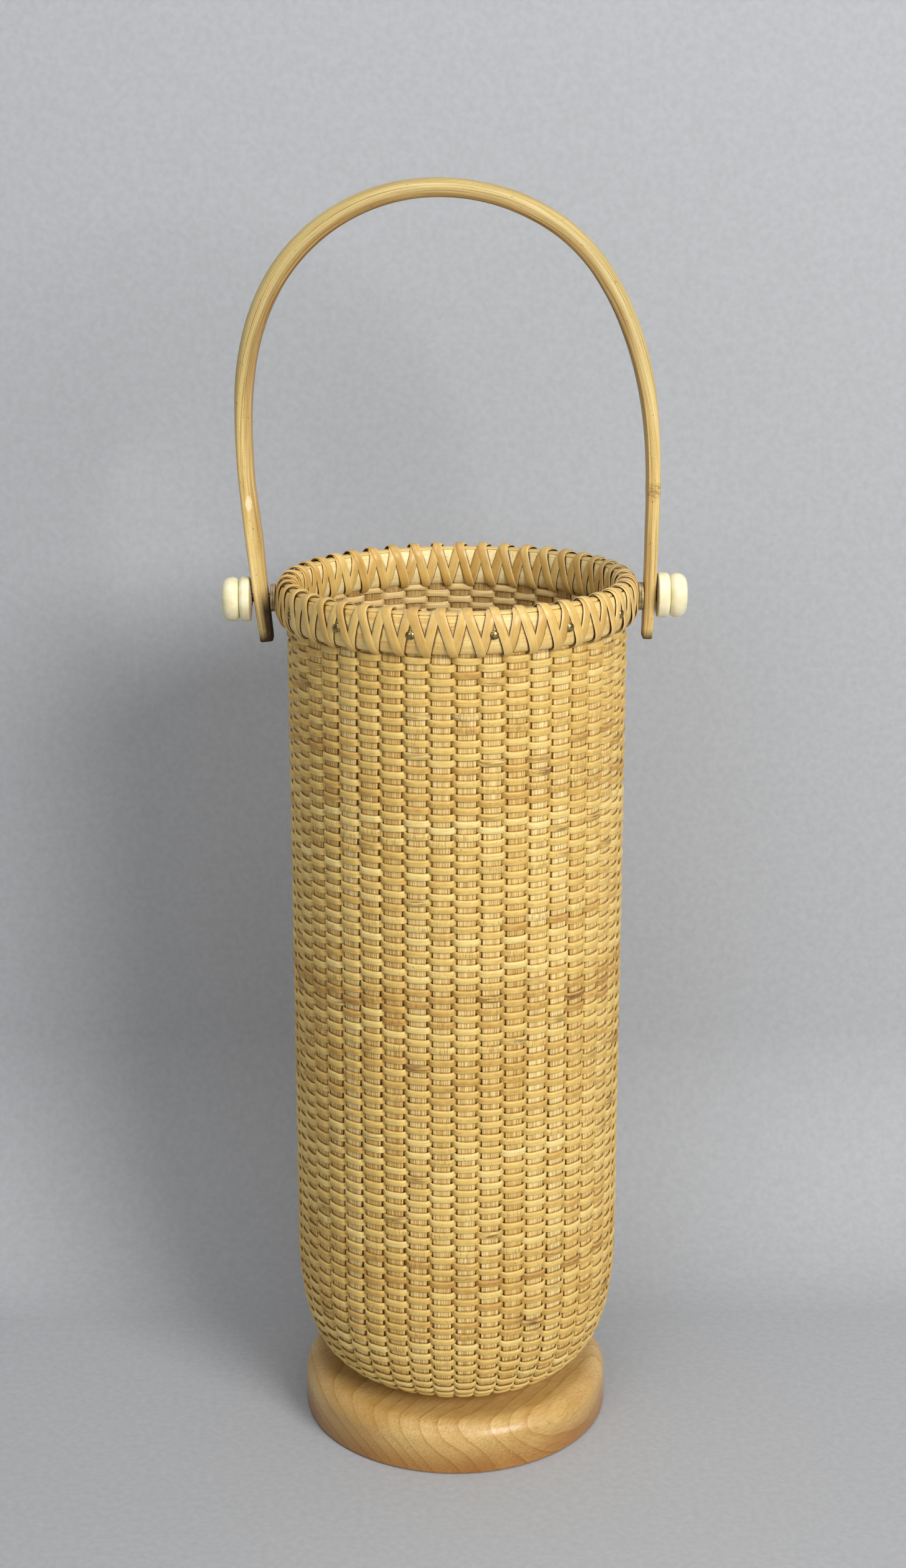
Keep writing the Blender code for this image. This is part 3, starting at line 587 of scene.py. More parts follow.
def washer_look():
    look = Look("washer_metal", Metallic=0.4)
    place = look.place()
    grime = look.noise(place, 0.5, 4, 0.6)
    colour = look.ramp(grime, (0.35, (132, 110, 74)), (0.5, (168, 150, 112)), (0.68, (196, 182, 148)))
    scratches = look.grain(place, (3.0, 0.3, 0.3), 3, 0.6)
    rough = look.span(grime, 0.35, 0.65, 0.58, 0.36)
    return look.finish(colour, rough, scratches, 0.04 * MM, 0.6)


# The body's form

FLAT_POINTS = 8
CURVE_POINTS = 91
LIFT_RADIUS = 49.5 * MM
LIFT_REACH = 4.5 * MM


def body_form():
    """The staves' middle surface from the plate to the rim: arc length, (radius, height) and slope."""
    inset = BODY_RADIUS - STAVE_MIDDLE
    flat = np.linspace(PLATE_RADIUS - 4 * MM, CURVE_RADIUS, FLAT_POINTS, endpoint=False)
    points = [(radius, WALL_UNDER + inset) for radius in flat]
    for angle in np.linspace(0, math.pi / 2, CURVE_POINTS):
        out, down = CURVE_HEIGHT * math.sin(angle), CURVE_REACH * math.cos(angle)
        length = math.hypot(out, down)
        radius = CURVE_RADIUS + CURVE_REACH * math.sin(angle) - inset * out / length
        points.append((radius, CURVE_TOP - CURVE_HEIGHT * math.cos(angle) + inset * down / length))
    points += [(STAVE_MIDDLE, z) for z in np.linspace(CURVE_TOP, STAVE_TOP, 40)[1:]]
    points = np.array(points)
    lifted = np.exp(-(((points[:, 0] - LIFT_RADIUS) / LIFT_REACH) ** 2)) * (points[:, 1] < 60 * MM)
    points[:, 1] += BASE_LIFT * lifted
    arc_length = running_length(points)
    return arc_length, points, unit(np.gradient(points, arc_length, axis=0))


FORM_ARC, FORM_POINTS, FORM_SLOPE = body_form()
TURNING = 60


def on_form(place):
    """Radius, height, and the slope (radial, upward) of the form at this arc length."""
    values = [np.interp(place, FORM_ARC, column) for column in (*FORM_POINTS.T, *FORM_SLOPE.T)]
    length = np.hypot(values[2], values[3])
    return values[0], values[1], values[2] / length, values[3] / length


def arc_at_radius(radius):
    return float(np.interp(radius, FORM_POINTS[:TURNING, 0], FORM_ARC[:TURNING]))


def arc_at_height(height):
    return float(np.interp(height, FORM_POINTS[TURNING:, 1], FORM_ARC[TURNING:]))


def to_space(azimuth, radius, height):
    return np.stack([radius * np.sin(azimuth), -radius * np.cos(azimuth), height + 0 * azimuth], -1)


# Weaver

ROWS = 123
STRANDS = 5
BAND = np.array(
    [
        (-0.42, -1), (0.42, -1), (0.5, -0.4), (0.49, 0.35), (0.40, 0.82),
        (0.15, 1), (-0.15, 1), (-0.40, 0.82), (-0.49, 0.35), (-0.5, -0.4),
    ]
)
BAND_BACK = [1.0, 1.0, 0.3, 0, 0, 0, 0, 0, 0, 0.3]
# BAND_EDGE marks the crown's shoulders, which are painted paler: partly the cane's own edge, partly a
# painted highlight.
BAND_EDGE = [0.0, 0.0, 0, 0.25, 1.0, 0, 0, 1.0, 0.25, 0]
STRAND_WIDTH = 2.5 * MM
CANE_HALF = 0.45 * MM
WEAVE_SWING = 1.2 * MM
STEEPNESS = 2.9
STEPS = np.array([0, 0.08, 0.17, 0.31, 0.5, 0.69, 0.83, 0.92])
JOIN_STEP = 1.5
TAIL_STEPS = 24.5
STAINS = 34
ROW_MARGIN = 0.02


def row_places():
    """Turns, the strand's arc length there and its room: crowded at the foot, thin under the rim."""
    start, end = arc_at_radius(WALL_START) + 1.0 * MM, arc_at_height(WALL_TOP) - 1.7 * MM
    row = np.arange(ROWS + 1)
    spacing = 0.84 + 0.16 * np.clip(row / 9, 0, 1) + 0.035 * drift(row, 2.3, 5)
    total = np.concatenate([[0], np.cumsum(spacing[:-1])])
    places = start + (end - start) * total / total[-1]
    turns = np.concatenate([row, [ROWS + 0.24, ROWS + 0.6]])
    places = np.concatenate([places, [arc_at_height(306.95 * MM), arc_at_height(307.9 * MM)]])
    heights = np.concatenate([np.diff(places[: ROWS + 1]), [2.35 * MM, 2.35 * MM, 0.6 * MM]])
    return turns, places, heights


def strand_form(step):
    """The strand's centre line and its ways up the wall and outward. step counts the staves passed."""
    turns, places, _ = row_places()
    azimuth = math.pi / 2 + step * PITCH
    wave = np.sin(math.pi * step)
    place = np.interp(step / STAVES, turns, places)
    place = place + 0.10 * MM * drift(step, 1.0, 21) + 0.05 * MM * drift(step, 0.45, 22)
    place = place - 0.24 * MM * np.maximum(wave, 0) ** 0.8
    radius, height, slope_out, slope_up = on_form(place)
    swing = WEAVE_SWING * np.tanh(STEEPNESS * wave) / math.tanh(STEEPNESS)
    swing *= 1 + 0.05 * drift(step, 1.7, 23)
    centre = to_space(azimuth, radius + swing * slope_up, height - swing * slope_out)
    ahead = unit(np.gradient(centre, axis=0))
    up = square_to(to_space(azimuth, slope_out, slope_up), ahead)
    out = np.cross(ahead, up)
    out *= np.sign(dot(out, to_space(azimuth, np.ones_like(azimuth), 0)))
    return centre, up, out


def strand_marks(step, stains, rng):
    """How light, cracked and stained the strand is, and how much painted shade it takes where it dives
    behind staves, for each point of its rings.
    """
    tone = 0.54 + 0.10 * drift(step, 170, 31) + 0.13 * drift(step, 41, 32) + 0.14 * drift(step, 5.3, 33)
    tone += 0.10 * drift(step, 1.9, 34)
    tone -= 0.42 * np.clip(drift(step, 9, 36) * 3 - 2.1, 0, 1)
    crack = np.clip(drift(step, 7, 35) * 2.2 - 0.7, 0, 1)
    dive = np.clip((-0.06 - np.sin(math.pi * step)) / 0.3, 0, 1)
    stain = 0.8 * np.clip(drift(step, 3.1, 37) * 4 - 3.1, 0, 1)
    for spot in stains:
        stain = np.maximum(stain, np.exp(-(((step - spot) / 0.42) ** 2)) * rng.uniform(0.6, 1))
    return {
        "tone": np.repeat(tone, len(BAND)),
        "crack": np.repeat(crack, len(BAND)),
        "stain": np.repeat(stain, len(BAND)),
        "dive": np.outer(dive, 1 - np.array(BAND_BACK)).ravel(),
        "back": np.tile(BAND_BACK, len(step)),
        "edge": np.tile(BAND_EDGE, len(step)),
    }


def strand_bake_uv(step, first, last, shares):
    """UV to bake on: one row for each turn, with a margin to the next."""
    low = math.floor(first / STAVES)
    rows = math.ceil(last / STAVES) - low
    turn = np.floor(step[:-1] / STAVES)
    row = (turn - low)[:, None]
    v0 = (row + shares[None, :-1] * (1 - 2 * ROW_MARGIN) + ROW_MARGIN) / rows
    v1 = (row + shares[None, 1:] * (1 - 2 * ROW_MARGIN) + ROW_MARGIN) / rows
    u0 = (step[:-1] / STAVES - turn)[:, None] + 0 * v0
    u1 = (step[1:] / STAVES - turn)[:, None] + 0 * v0
    return corner_uv(u0, u1, v0, v1)


def make_weaver(look):
    """One spiral over and under the staves, in several lengths that join behind one of them.

    The count of staves is odd, so that each turn alternates with the turn below it.
    """
    turns, _, heights = row_places()
    bounds = [round(ROWS * STAVES * k / STRANDS / 2) * 2 + JOIN_STEP for k in range(STRANDS)]
    bounds.append(ROWS * STAVES + TAIL_STEPS)
    rng = np.random.default_rng(11)
    stains = rng.choice(np.arange(0, ROWS * STAVES, 2), STAINS, replace=False) + 0.5
    section = BAND * [STRAND_WIDTH / MM, CANE_HALF / MM]
    way = perimeter(section)
    for number, (first, last) in enumerate(zip(bounds, bounds[1:])):
        step = (np.arange(math.floor(first), math.ceil(last))[:, None] + STEPS[None]).ravel()
        step = step[(step >= first) & (step <= last)]
        wave = np.sin(math.pi * step)
        spread = np.exp(-(((wave + 0.3) / 0.28) ** 2))
        room = np.interp(step / STAVES, turns, heights)
        width = room * (1.05 + 0.14 * spread) * (1 + 0.04 * drift(step, 24, 24))
        thick = CANE_HALF * (1 + 0.08 * drift(step, 13, 25)) * (0.9 + 0.1 * np.abs(wave))
        centre, up, out = strand_form(step)
        rings = ribbon(centre, up, out, BAND, width, thick)
        marks = strand_marks(step, stains[(stains > first) & (stains < last)], rng)
        quads, uv = tube_arrays(rings, running_length(centre) / MM + 37.0 * number, way, False)
        extra = end_faces(0, (len(step) - 1) * len(BAND), len(BAND))
        bake = strand_bake_uv(step, first, last, way / way[-1])
        made = make_mesh(f"weaver_{number + 1}", rings.reshape(-1, 3), quads, uv, extra, marks, bake)
        made.data.materials.append(look)
        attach(made, "basket")
        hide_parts("woven_wall")


# Staves

# Half the width of a stave, as a share of the pitch
STAVE_SHARE = 0.3525
CROWNING = 0.34


def make_staves(look):
    """Ribs with fibres along them, each crowned and a little uneven, with row values that place painted
    shade beside the strands.
    """
    across = np.linspace(-1, 1, 27)
    back = np.linspace(1, -1, 7)
    side = np.concatenate([across, back])
    way = np.concatenate([(across + 1) * 3.1, 6.3 + (1 - back) * 3.1, [12.6]])
    start, bend, end = arc_at_radius(PLATE_RADIUS - 3.5 * MM), arc_at_height(CURVE_TOP), FORM_ARC[-1]
    place = np.concatenate([np.linspace(start, bend, 26), np.linspace(bend, end, 42)[1:]])
    turns, row_middles, _ = row_places()
    passed = np.interp(place + 0.2 * MM, row_middles, turns)
    radius, height, slope_out, slope_up = on_form(place)
    all_points, all_quads, all_uv, all_tone, all_rows, extra = [], [], [], [], [], []
    rng = np.random.default_rng(3)
    for stave in range(STAVES):
        middle = math.pi / 2 + (stave + 0.5) * PITCH
        phase, ridges = rng.uniform(0, 6.28), rng.uniform(6.5, 8.5)
        wide = 1 + 0.03 * drift(place / MM, 60, 100 + stave)
        sway = 0.012 * PITCH * drift(place / MM, 45, 200 + stave)
        ridge = 0.05 * MM * np.cos(math.pi * ridges * across + phase)
        ridge += 0.02 * MM * np.cos(math.pi * 2.3 * ridges * across)
        outer = STAVE_HALF * (1 - CROWNING * across**4) + ridge * (1 - across**6)
        inner = -STAVE_HALF * (1 - CROWNING * back**4)
        rise = np.concatenate([outer, inner])
        azimuth = middle + STAVE_SHARE * PITCH * side[None] * wide[:, None] + sway[:, None]
        r = radius[:, None] + rise[None] * slope_up[:, None]
        z = height[:, None] - rise[None] * slope_out[:, None]
        rings = np.stack([r * np.sin(azimuth), -r * np.cos(azimuth), z], -1)
        quads, uv = tube_arrays(rings, place / MM, way, False)
        sides, first = len(side), len(all_points) * rings.shape[0] * rings.shape[1]
        all_points.append(rings.reshape(-1, 3))
        all_quads.append(quads + first)
        all_uv.append(uv[..., ::-1])
        all_tone.append(np.full(rings.shape[0] * sides, rng.uniform(0.1, 0.9)))
        # How far in strands each point lies from the strand over this stave, for the painted shade beside
        # the strands.
        strands = passed[:, None] - (stave + 0.5 + STAVE_SHARE * side[None]) / STAVES
        all_rows.append((strands - stave % 2 + 2).ravel())
        extra += end_faces(first, first + (len(place) - 1) * sides, sides)
    attributes = {"tone": np.concatenate(all_tone), "row": np.concatenate(all_rows)}
    points, quads, uv = np.vstack(all_points), np.vstack(all_quads), np.concatenate(all_uv)
    made = make_mesh("ribs", points, quads, uv, extra, attributes)
    made.data.materials.append(look)
    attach(made, "basket")
    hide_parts("staves")


# Rim

HOOP_TOP = 321.2 * MM
HOOP_OUTER_SEAT = 59.0 * MM
HOOP_INNER_SEAT = 57.5 * MM
SEAM = 58.3 * MM
CAP_HALF = 2 * MM
RIM_MIDDLE = 58.75 * MM
RIM_HALF_WIDTH = 3.8 * MM
RIM_LOW, RIM_HIGH = 307.9 * MM, 322.5 * MM
RIM_OVAL = 0.010
RIM_TILT = 0.008
RIM_CENTRE = (RIM_LOW + RIM_HIGH) / 2
RIM_HALF_HEIGHT = (RIM_HIGH - RIM_LOW) / 2
SQUARE = 2 / 2.4


def power(value, exponent):
    return np.sign(value) * np.abs(value) ** exponent


def rim_point(angle, lift):
    """Radius and height on the rim's section, lift above it. Angle 0 is below, a quarter turn is outside."""
    radius = RIM_MIDDLE + (RIM_HALF_WIDTH + lift) * power(np.sin(angle), SQUARE)
    return radius, RIM_CENTRE - (RIM_HALF_HEIGHT + lift) * power(np.cos(angle), SQUARE)


def lie_on_rim(points):
    """The rim is a little oval, and a little higher on the right."""
    return points + points[..., :1] * [RIM_OVAL, 0, RIM_TILT]


def settle(piece):
    return reshape(piece, lie_on_rim)


def make_hoops(look, cane):
    """Two half-round hoops and the cane on their seam. The hoops hold where each lashing strip crosses,
    which places painted shade beside the strips.
    """
    # hoop_inside takes a paler tone than hoop_outside: painted light on the rim's inside.
    for name, start, seat, tone, node in (
        ("hoop_outside", 8, HOOP_OUTER_SEAT, 0.0, "rim_hoop_outer"),
        ("hoop_inside", 188, HOOP_INNER_SEAT, 0.2, "rim_hoop_inner"),
    ):
        outline, turns = [], []
        for angle in np.linspace(start, start + 164, 45):
            radius, height = rim_point(math.radians(angle), 0)
            if (radius > seat) == (start < 180) and height <= HOOP_TOP + 0.2 * MM:
                outline.append((radius, height))
                turns.append(angle / 360)
        ends = [(seat, outline[-1][1]), (seat, outline[0][1])]
        made = sharpen(turned(name, outline + ends, 192, 0.0009, 7), 50)
        turns = np.array(turns + [turns[-1], turns[0]])
        pitch = max(radius for radius, _ in outline) / MM * PITCH
        # Where the strips cross the hoop, for the painted shade beside them.
        first, second = lashing_place(turns, UNDER_WAY), lashing_place(turns, OVER_WAY)
        paint(made, first=first, second=second, pitch=pitch, tone=tone)
        settle(made)
        made.data.materials.append(look)
        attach(made, "basket")
        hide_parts(node)
    under = HOOP_TOP + 0.1 * MM
    cap = [(SEAM - CAP_HALF, under), (SEAM + CAP_HALF, under)]
    for share in np.linspace(1, -1, 9):
        dome = 0.6 * MM * math.sqrt(max(1 - share * share, 0))
        cap.append((SEAM + CAP_HALF * share, under + 0.25 * MM + dome))
    made = sharpen(turned("cap_cane", cap, 192, 0.0006, 9), 60)
    paint(made, tone=0.8)
    settle(made)
    made.data.materials.append(cane)
    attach(made, "basket")
    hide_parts("rim_cap_cane")


# Shares of a pitch that a lashing strip moves on the outer face, over the crest and on the inner face
UNDER_WAY = (0.34, 0.20, 0.46)
OVER_WAY = (-0.50, -0.02, -0.48)
LOOP_RINGS = 40


def lashing_place(turn, way):
    """How many pitches the strip has moved after turn, which goes from 0 to 1 in a loop."""
    angle = turn * 2 * math.pi
    climb = np.clip((power(-np.cos(angle), SQUARE) / 0.88 + 1) / 2, 0, 1)
    outside = way[0] * np.where(turn < 0.5, climb, 1)
    inside = way[2] * np.where(turn > 0.5, 1 - climb, 0)
    return outside + way[1] * smooth_step(turn, 0.42, 0.58) + inside


def make_lashing(look):
    """Flat cane wound both ways round the rim. It crosses on the crest, so that each gap holds a V."""
    strip = np.array(
        [
            (-0.5, 0.1), (-0.42, 0.7), (-0.15, 1), (0.15, 1),
            (0.42, 0.7), (0.5, 0.1), (0.44, -0.8), (-0.44, -0.8),
        ]
    )
    # edge marks the paler edges: partly the cut edge of the cane, partly a painted highlight.
    edge = np.array([1.0, 0.25, 0, 0, 0, 0.1, 0.3, 0.2])
    # seat marks the strip's lower corners for painted shade where it sits on the hoop.
    seat = np.array([0, 0, 0, 0, 0, 0, 1.0, 1.0])
    way_round = perimeter(strip * [STRIP_WIDTH / MM, STRIP_HALF / MM])
    step = np.arange(0, STAVES * LOOP_RINGS + 1) / LOOP_RINGS
    turn = step - np.floor(step)
    angle = turn * 2 * math.pi
    normal_out = power(np.sin(angle), 2 - SQUARE) / RIM_HALF_WIDTH
    normal_up = -power(np.cos(angle), 2 - SQUARE) / RIM_HALF_HEIGHT
    below = np.clip(1 - np.minimum(turn, 1 - turn) / 0.12, 0, 1)
    half = np.full_like(step, STRIP_HALF)
    offset = lashing_place(turn, OVER_WAY) - lashing_place(turn, UNDER_WAY)
    distance = np.abs(offset - np.round(offset)) * PITCH * RIM_MIDDLE
    raised = 1.7 * STRIP_HALF * smooth(np.clip(1.25 - distance / STRIP_WIDTH, 0, 1))
    for name, way, seed, direction, lift in (
        ("lashing_first", UNDER_WAY, 51, 1, half),
        ("lashing_second", OVER_WAY, 52, -1, half + raised),
    ):
        gap = direction * np.floor(step) + lashing_place(turn, way)
        gap = gap + 0.014 * drift(step, 0.31, seed + 7) * np.sin(math.pi * turn) ** 2
        azimuth = math.pi / 2 + gap * PITCH
        centre = to_space(azimuth, *rim_point(angle, lift))
        ahead = unit(np.gradient(centre, axis=0))
        away = square_to(to_space(azimuth, normal_out, normal_up), ahead)
        width = STRIP_WIDTH * (1 + 0.06 * drift(step, 1.3, seed)) * (1 - 0.25 * below)
        rings = lie_on_rim(ribbon(centre, np.cross(ahead, away), away, strip, width, half))
        tone = 0.55 + 0.2 * drift(step, 2.9, seed + 1) + 0.15 * drift(step, 0.7, seed + 2)
        attributes = {
            "tone": np.repeat(tone, len(strip)),
            "edge": np.tile(edge, len(step)),
            "seat": np.tile(seat, len(step)),
        }
        made = tube(name, rings, running_length(centre) / MM, way_round, False, attributes)
        sharpen(made, 70)
        made.data.materials.append(look)
        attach(made, "basket")
        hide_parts("rim_lashing")


TACK_SHARE = 0.43
TACK_RADIUS = 1.62 * MM
TACK_HEIGHT = 0.95 * MM
SHANK_RADIUS = 0.6 * MM
RIM_OUTSIDE = 63.7 * MM


def make_tacks(look):
    """Round-headed tacks through every third stave but those beside the pivots, each tilted a little."""
    dome = [(0, TACK_HEIGHT)]
    for angle in np.radians([12, 26, 42, 58, 72, 84]):
        dome.append((TACK_RADIUS * math.sin(angle), TACK_HEIGHT * math.cos(angle) ** 0.9))
    dome += [(TACK_RADIUS, -0.1 * MM), (SHANK_RADIUS, -0.3 * MM), (SHANK_RADIUS, -2.6 * MM), (0, -2.6 * MM)]
    staves = [-1 - 3 * number for number in range(6, 0, -1)] + [3 * number for number in range(1, 7)]
    rng = np.random.default_rng(8)
    for number, stave in enumerate(staves, 1):
        azimuth = math.pi / 2 + (stave + TACK_SHARE) * PITCH
        beside = np.array([math.cos(azimuth), math.sin(azimuth), 0])
        tilt = rng.uniform(-0.08, 0.08, 2)
        out = np.array([math.sin(azimuth), -math.cos(azimuth), 0]) + beside * tilt[0] + [0, 0, tilt[1]]
        out /= np.linalg.norm(out)
        up = np.cross(beside, out)
        axes = np.array([np.cross(out, up), up, out])
        seat = to_space(azimuth, RIM_MIDDLE + RIM_HALF_WIDTH + 0.1 * MM, RIM_HEIGHT)
        made = sharpen(turned(f"tack_{number:02d}", dome, 28), 40)
        settle(reshape(made, lambda points: points @ axes + seat))
        made.data.materials.append(look)
        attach(made, "basket")
        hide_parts(f"rim_tack_{number:02d}")


# Foot and pivots

FOOT_RADIUS, FOOT_THICK = 57 * MM, 19.5 * MM
FOOT_SCALE = 1.006
SCREW_RADIUS, HEAD_RADIUS = 2.4 * MM, 4.9 * MM
BORE = 2.4 * MM
SPACER_RADIUS, WASHER_RADIUS, KNOB_RADIUS = 4.9 * MM, 7.9 * MM, 7.75 * MM


def make_foot(look):
    """The turned disc that the basket stands on, with the hole for its screw."""
    outline = [(HEAD_RADIUS, 0), (FOOT_RADIUS - 1.4 * MM, 0), *arc(FOOT_RADIUS, 0, 1.2 * MM, -1, 4)]
    outline += arc(FOOT_RADIUS, FOOT_THICK, 7 * MM, 1, 14)
    outline += [(SCREW_RADIUS, FOOT_THICK), (SCREW_RADIUS, 3.9 * MM), (HEAD_RADIUS, 1.1 * MM)]
    made = sharpen(turned("foot_turned", outline, 192, 0.0004, 4), 40)
    reshape(made, lambda points: points * [FOOT_SCALE, FOOT_SCALE, 1] + [FOOT_SHIFT, 0, 0])
    made.data.materials.append(look)
    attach(made, "basket")
    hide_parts("foot_disc")


BASE_OUTLINE = (
    (0, 19.8), (33.5, 19.8), (36.2, 20.6), (38.2, 22.2), (39.4, 24.0), (39.8, 25.3), (36.4, 25.3),
    (36.4, 27.1), (40, 27.1), (40, 28.9), (39.7, 29.6), (39.0, 30.1), (0, 30.1),
)


def make_base(look):
    """The plate at the bottom of the weave, with the groove that holds the ribs and a rounded underside."""
    made = sharpen(turned("base_turned", np.array(BASE_OUTLINE) * MM, 128), 35)
    made.data.materials.append(look)
    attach(made, "basket")
    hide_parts("base_plate")


def lean_over(points, lean, rise, centre):
    """Leans a piece on the pivot line by a small angle about its x at centre, and raises it."""
    x = points[:, 0] + lean * (points[:, 2] - RIM_HEIGHT)
    return np.stack([x, points[:, 1], points[:, 2] + (rise - lean * (x - centre))], -1)


def make_pivots(bone, metal):
    """Spacers beside the rim, then the leg, a washer with a domed inner face, and a knob."""
    for side, word, spacer_end, washer_start, knob_start, swell, lean, rise in (
        (-1, "left", 65.35 * MM, 72.45 * MM, 76.25 * MM, 1.0, -0.013, -0.45 * MM),
        (1, "right", 65.4 * MM, 70.35 * MM, 74.7 * MM, 0.35, 0.014, 0.4 * MM),
    ):
        thick = spacer_end - RIM_OUTSIDE
        ring = [(BORE, 0), *arc(SPACER_RADIUS, 0, 0.2 * MM, -1, 3), (SPACER_RADIUS, thick * 0.44)]
        ring += [(SPACER_RADIUS - 0.3 * MM, thick * 0.5), (SPACER_RADIUS, thick * 0.56)]
        ring += arc(SPACER_RADIUS, thick, 0.25 * MM, 1, 3)
        ring += [(BORE, thick + 0.3 * MM * swell), (BORE, thick)]
        disc = [(BORE, -0.6 * MM * swell), (3 * MM, -0.5 * MM * swell), (5 * MM, -0.3 * MM * swell)]
        disc += [(7.0 * MM, -0.08 * MM * swell), *arc(WASHER_RADIUS, 0, 0.6 * MM, -1, 6)[1:]]
        height = knob_start - washer_start - 0.05 * MM
        disc += [*arc(WASHER_RADIUS, height, 1.5 * MM, 1, 8), (BORE, height)]
        bun = [(0, 4.5 * MM), (BORE, 4.5 * MM), (BORE, 0), *arc(KNOB_RADIUS, 0, 2.2 * MM, -1, 9)]
        bun += [*arc(KNOB_RADIUS, 6.05 * MM, 3.3 * MM, 1, 13)[:-1], (3.4 * MM, 6.04 * MM), (0, 6.1 * MM)]
        for name, outline, start, look, slot, node in (
            (f"spacer_{word}", ring, RIM_OUTSIDE, metal, "washer_metal", f"spacer_washer_{word}"),
            (f"washer_{word}", disc, washer_start, bone, "bone", f"bone_washer_{word}"),
            (f"knob_{word}", bun, knob_start, bone, "bone", f"bone_knob_{word}"),
        ):
            made = sharpen(along_x(turned(name, outline, 64), side, start), 50)
            if look is bone:
                # Painted shade on the washer's inner face, next to the leg.
                grime = np.clip(0.5 - np.array(outline)[:, 1] / MM, 0, 0.5) * (outline is disc)
                paint(made, grime=grime)
                reshape(made, lambda points: lean_over(points, lean, rise, side * washer_start))
            made.data.materials.append(look)
            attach(made, "basket")
            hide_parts(node)


# Handle

END_HEIGHT, WIDEST_HEIGHT, CROWN_CENTRE = 299.5 * MM, 360 * MM, 455 * MM
HALF_WIDTH, DRAW_IN, LEAN = 70.6 * MM, 3.2 * MM, 6 * MM
ARCH_POWER = 2.6
LEFT_TRIM, RIGHT_TRIM = 0.3 * MM, 0.65 * MM
# Where the painted highlight on the left leg's flat facet is centred, as (x, height).
FACET_PLACE = (-72.1 * MM, 348.8 * MM)
KNUCKLE_HEIGHT = 352.8 * MM
BEARING_CENTRE = (-3 * MM, 350 * MM)

# How the hand-worked strip departs from an even one: bearing in degrees from the crown, negative on the
# left, then how much more wood there is outside and inside, in millimetres
UNEVEN = np.array(
    [
        (-130, 0.4, 0.0), (-112, 0.5, 0.1), (-102, 0.65, 0.4), (-95, 0.65, 0.15), (-86, 0.65, -0.35),
        (-68, 0.85, -0.4), (-56, 1.3, -0.35), (-46, 1.42, -0.2), (-36, 1.3, 0.0), (-28, 0.9, 0.2),
        (-20, 0.55, 0.3), (-12, 0.3, 0.3), (-4, 0.0, 0.3), (6, 0.0, 0.3), (12, 0.35, 0.2),
        (17, 0.55, 0.2), (23, 0.75, 0.1), (28, 0.65, 0.2), (33, 0.35, 0.4), (37, 0.0, 0.75),
        (43, -0.35, 1.05), (48, -0.5, 1.2), (56, -0.6, 1.05), (66, -0.65, 0.65), (76, -0.8, 0.3),
        (90, -0.95, 0.25), (100, -1.05, 0.4), (117, -1.0, 0.45), (124, -1.35, 0.5), (130, -1.7, 0.5),
    ]
)


def handle_centre(side, height):
    if height < WIDEST_HEIGHT:
        drawn = (WIDEST_HEIGHT - height) / (WIDEST_HEIGHT - END_HEIGHT)
        half = HALF_WIDTH - DRAW_IN * drawn**1.4
    else:
        risen = min((height - WIDEST_HEIGHT) / (CROWN_CENTRE - WIDEST_HEIGHT), 1)
        half = HALF_WIDTH * math.sqrt(1 - risen**ARCH_POWER)
    return side * half - LEAN * (height - RIM_HEIGHT) / (CROWN_CENTRE - RIM_HEIGHT), height


def handle_sections(edge, bulge):
    """Outlines across the strip, (across, out) from -0.5 to 0.5: round outside, sides and a flat inside."""
    angle = np.linspace(0, math.pi, 19)[None]
    rise = edge[:, None] - 0.5 + (1 - edge[:, None]) * np.clip(np.sin(angle), 0, 1) ** bulge[:, None]
    dome = np.stack([np.cos(angle) / 2 + 0 * rise, rise], -1)
    low = -0.36
    side = np.stack([low + (edge - 0.5 - low) * share for share in (0.67, 0.33)], -1)
    left = np.stack([-0.5 + 0 * side, side], -1)
    right = np.stack([0.5 + 0 * side, side], -1)[:, ::-1]
    under = [(-0.5, low), (-0.475, -0.46), (-0.42, -0.5), (-0.2, -0.5), (0, -0.5), (0.2, -0.5), (0.42, -0.5)]
    under = np.array(under + [(0.475, -0.46), (0.5, low)])[None] + 0 * edge[:, None, None]
    return np.concatenate([dome, left, under, right], 1)


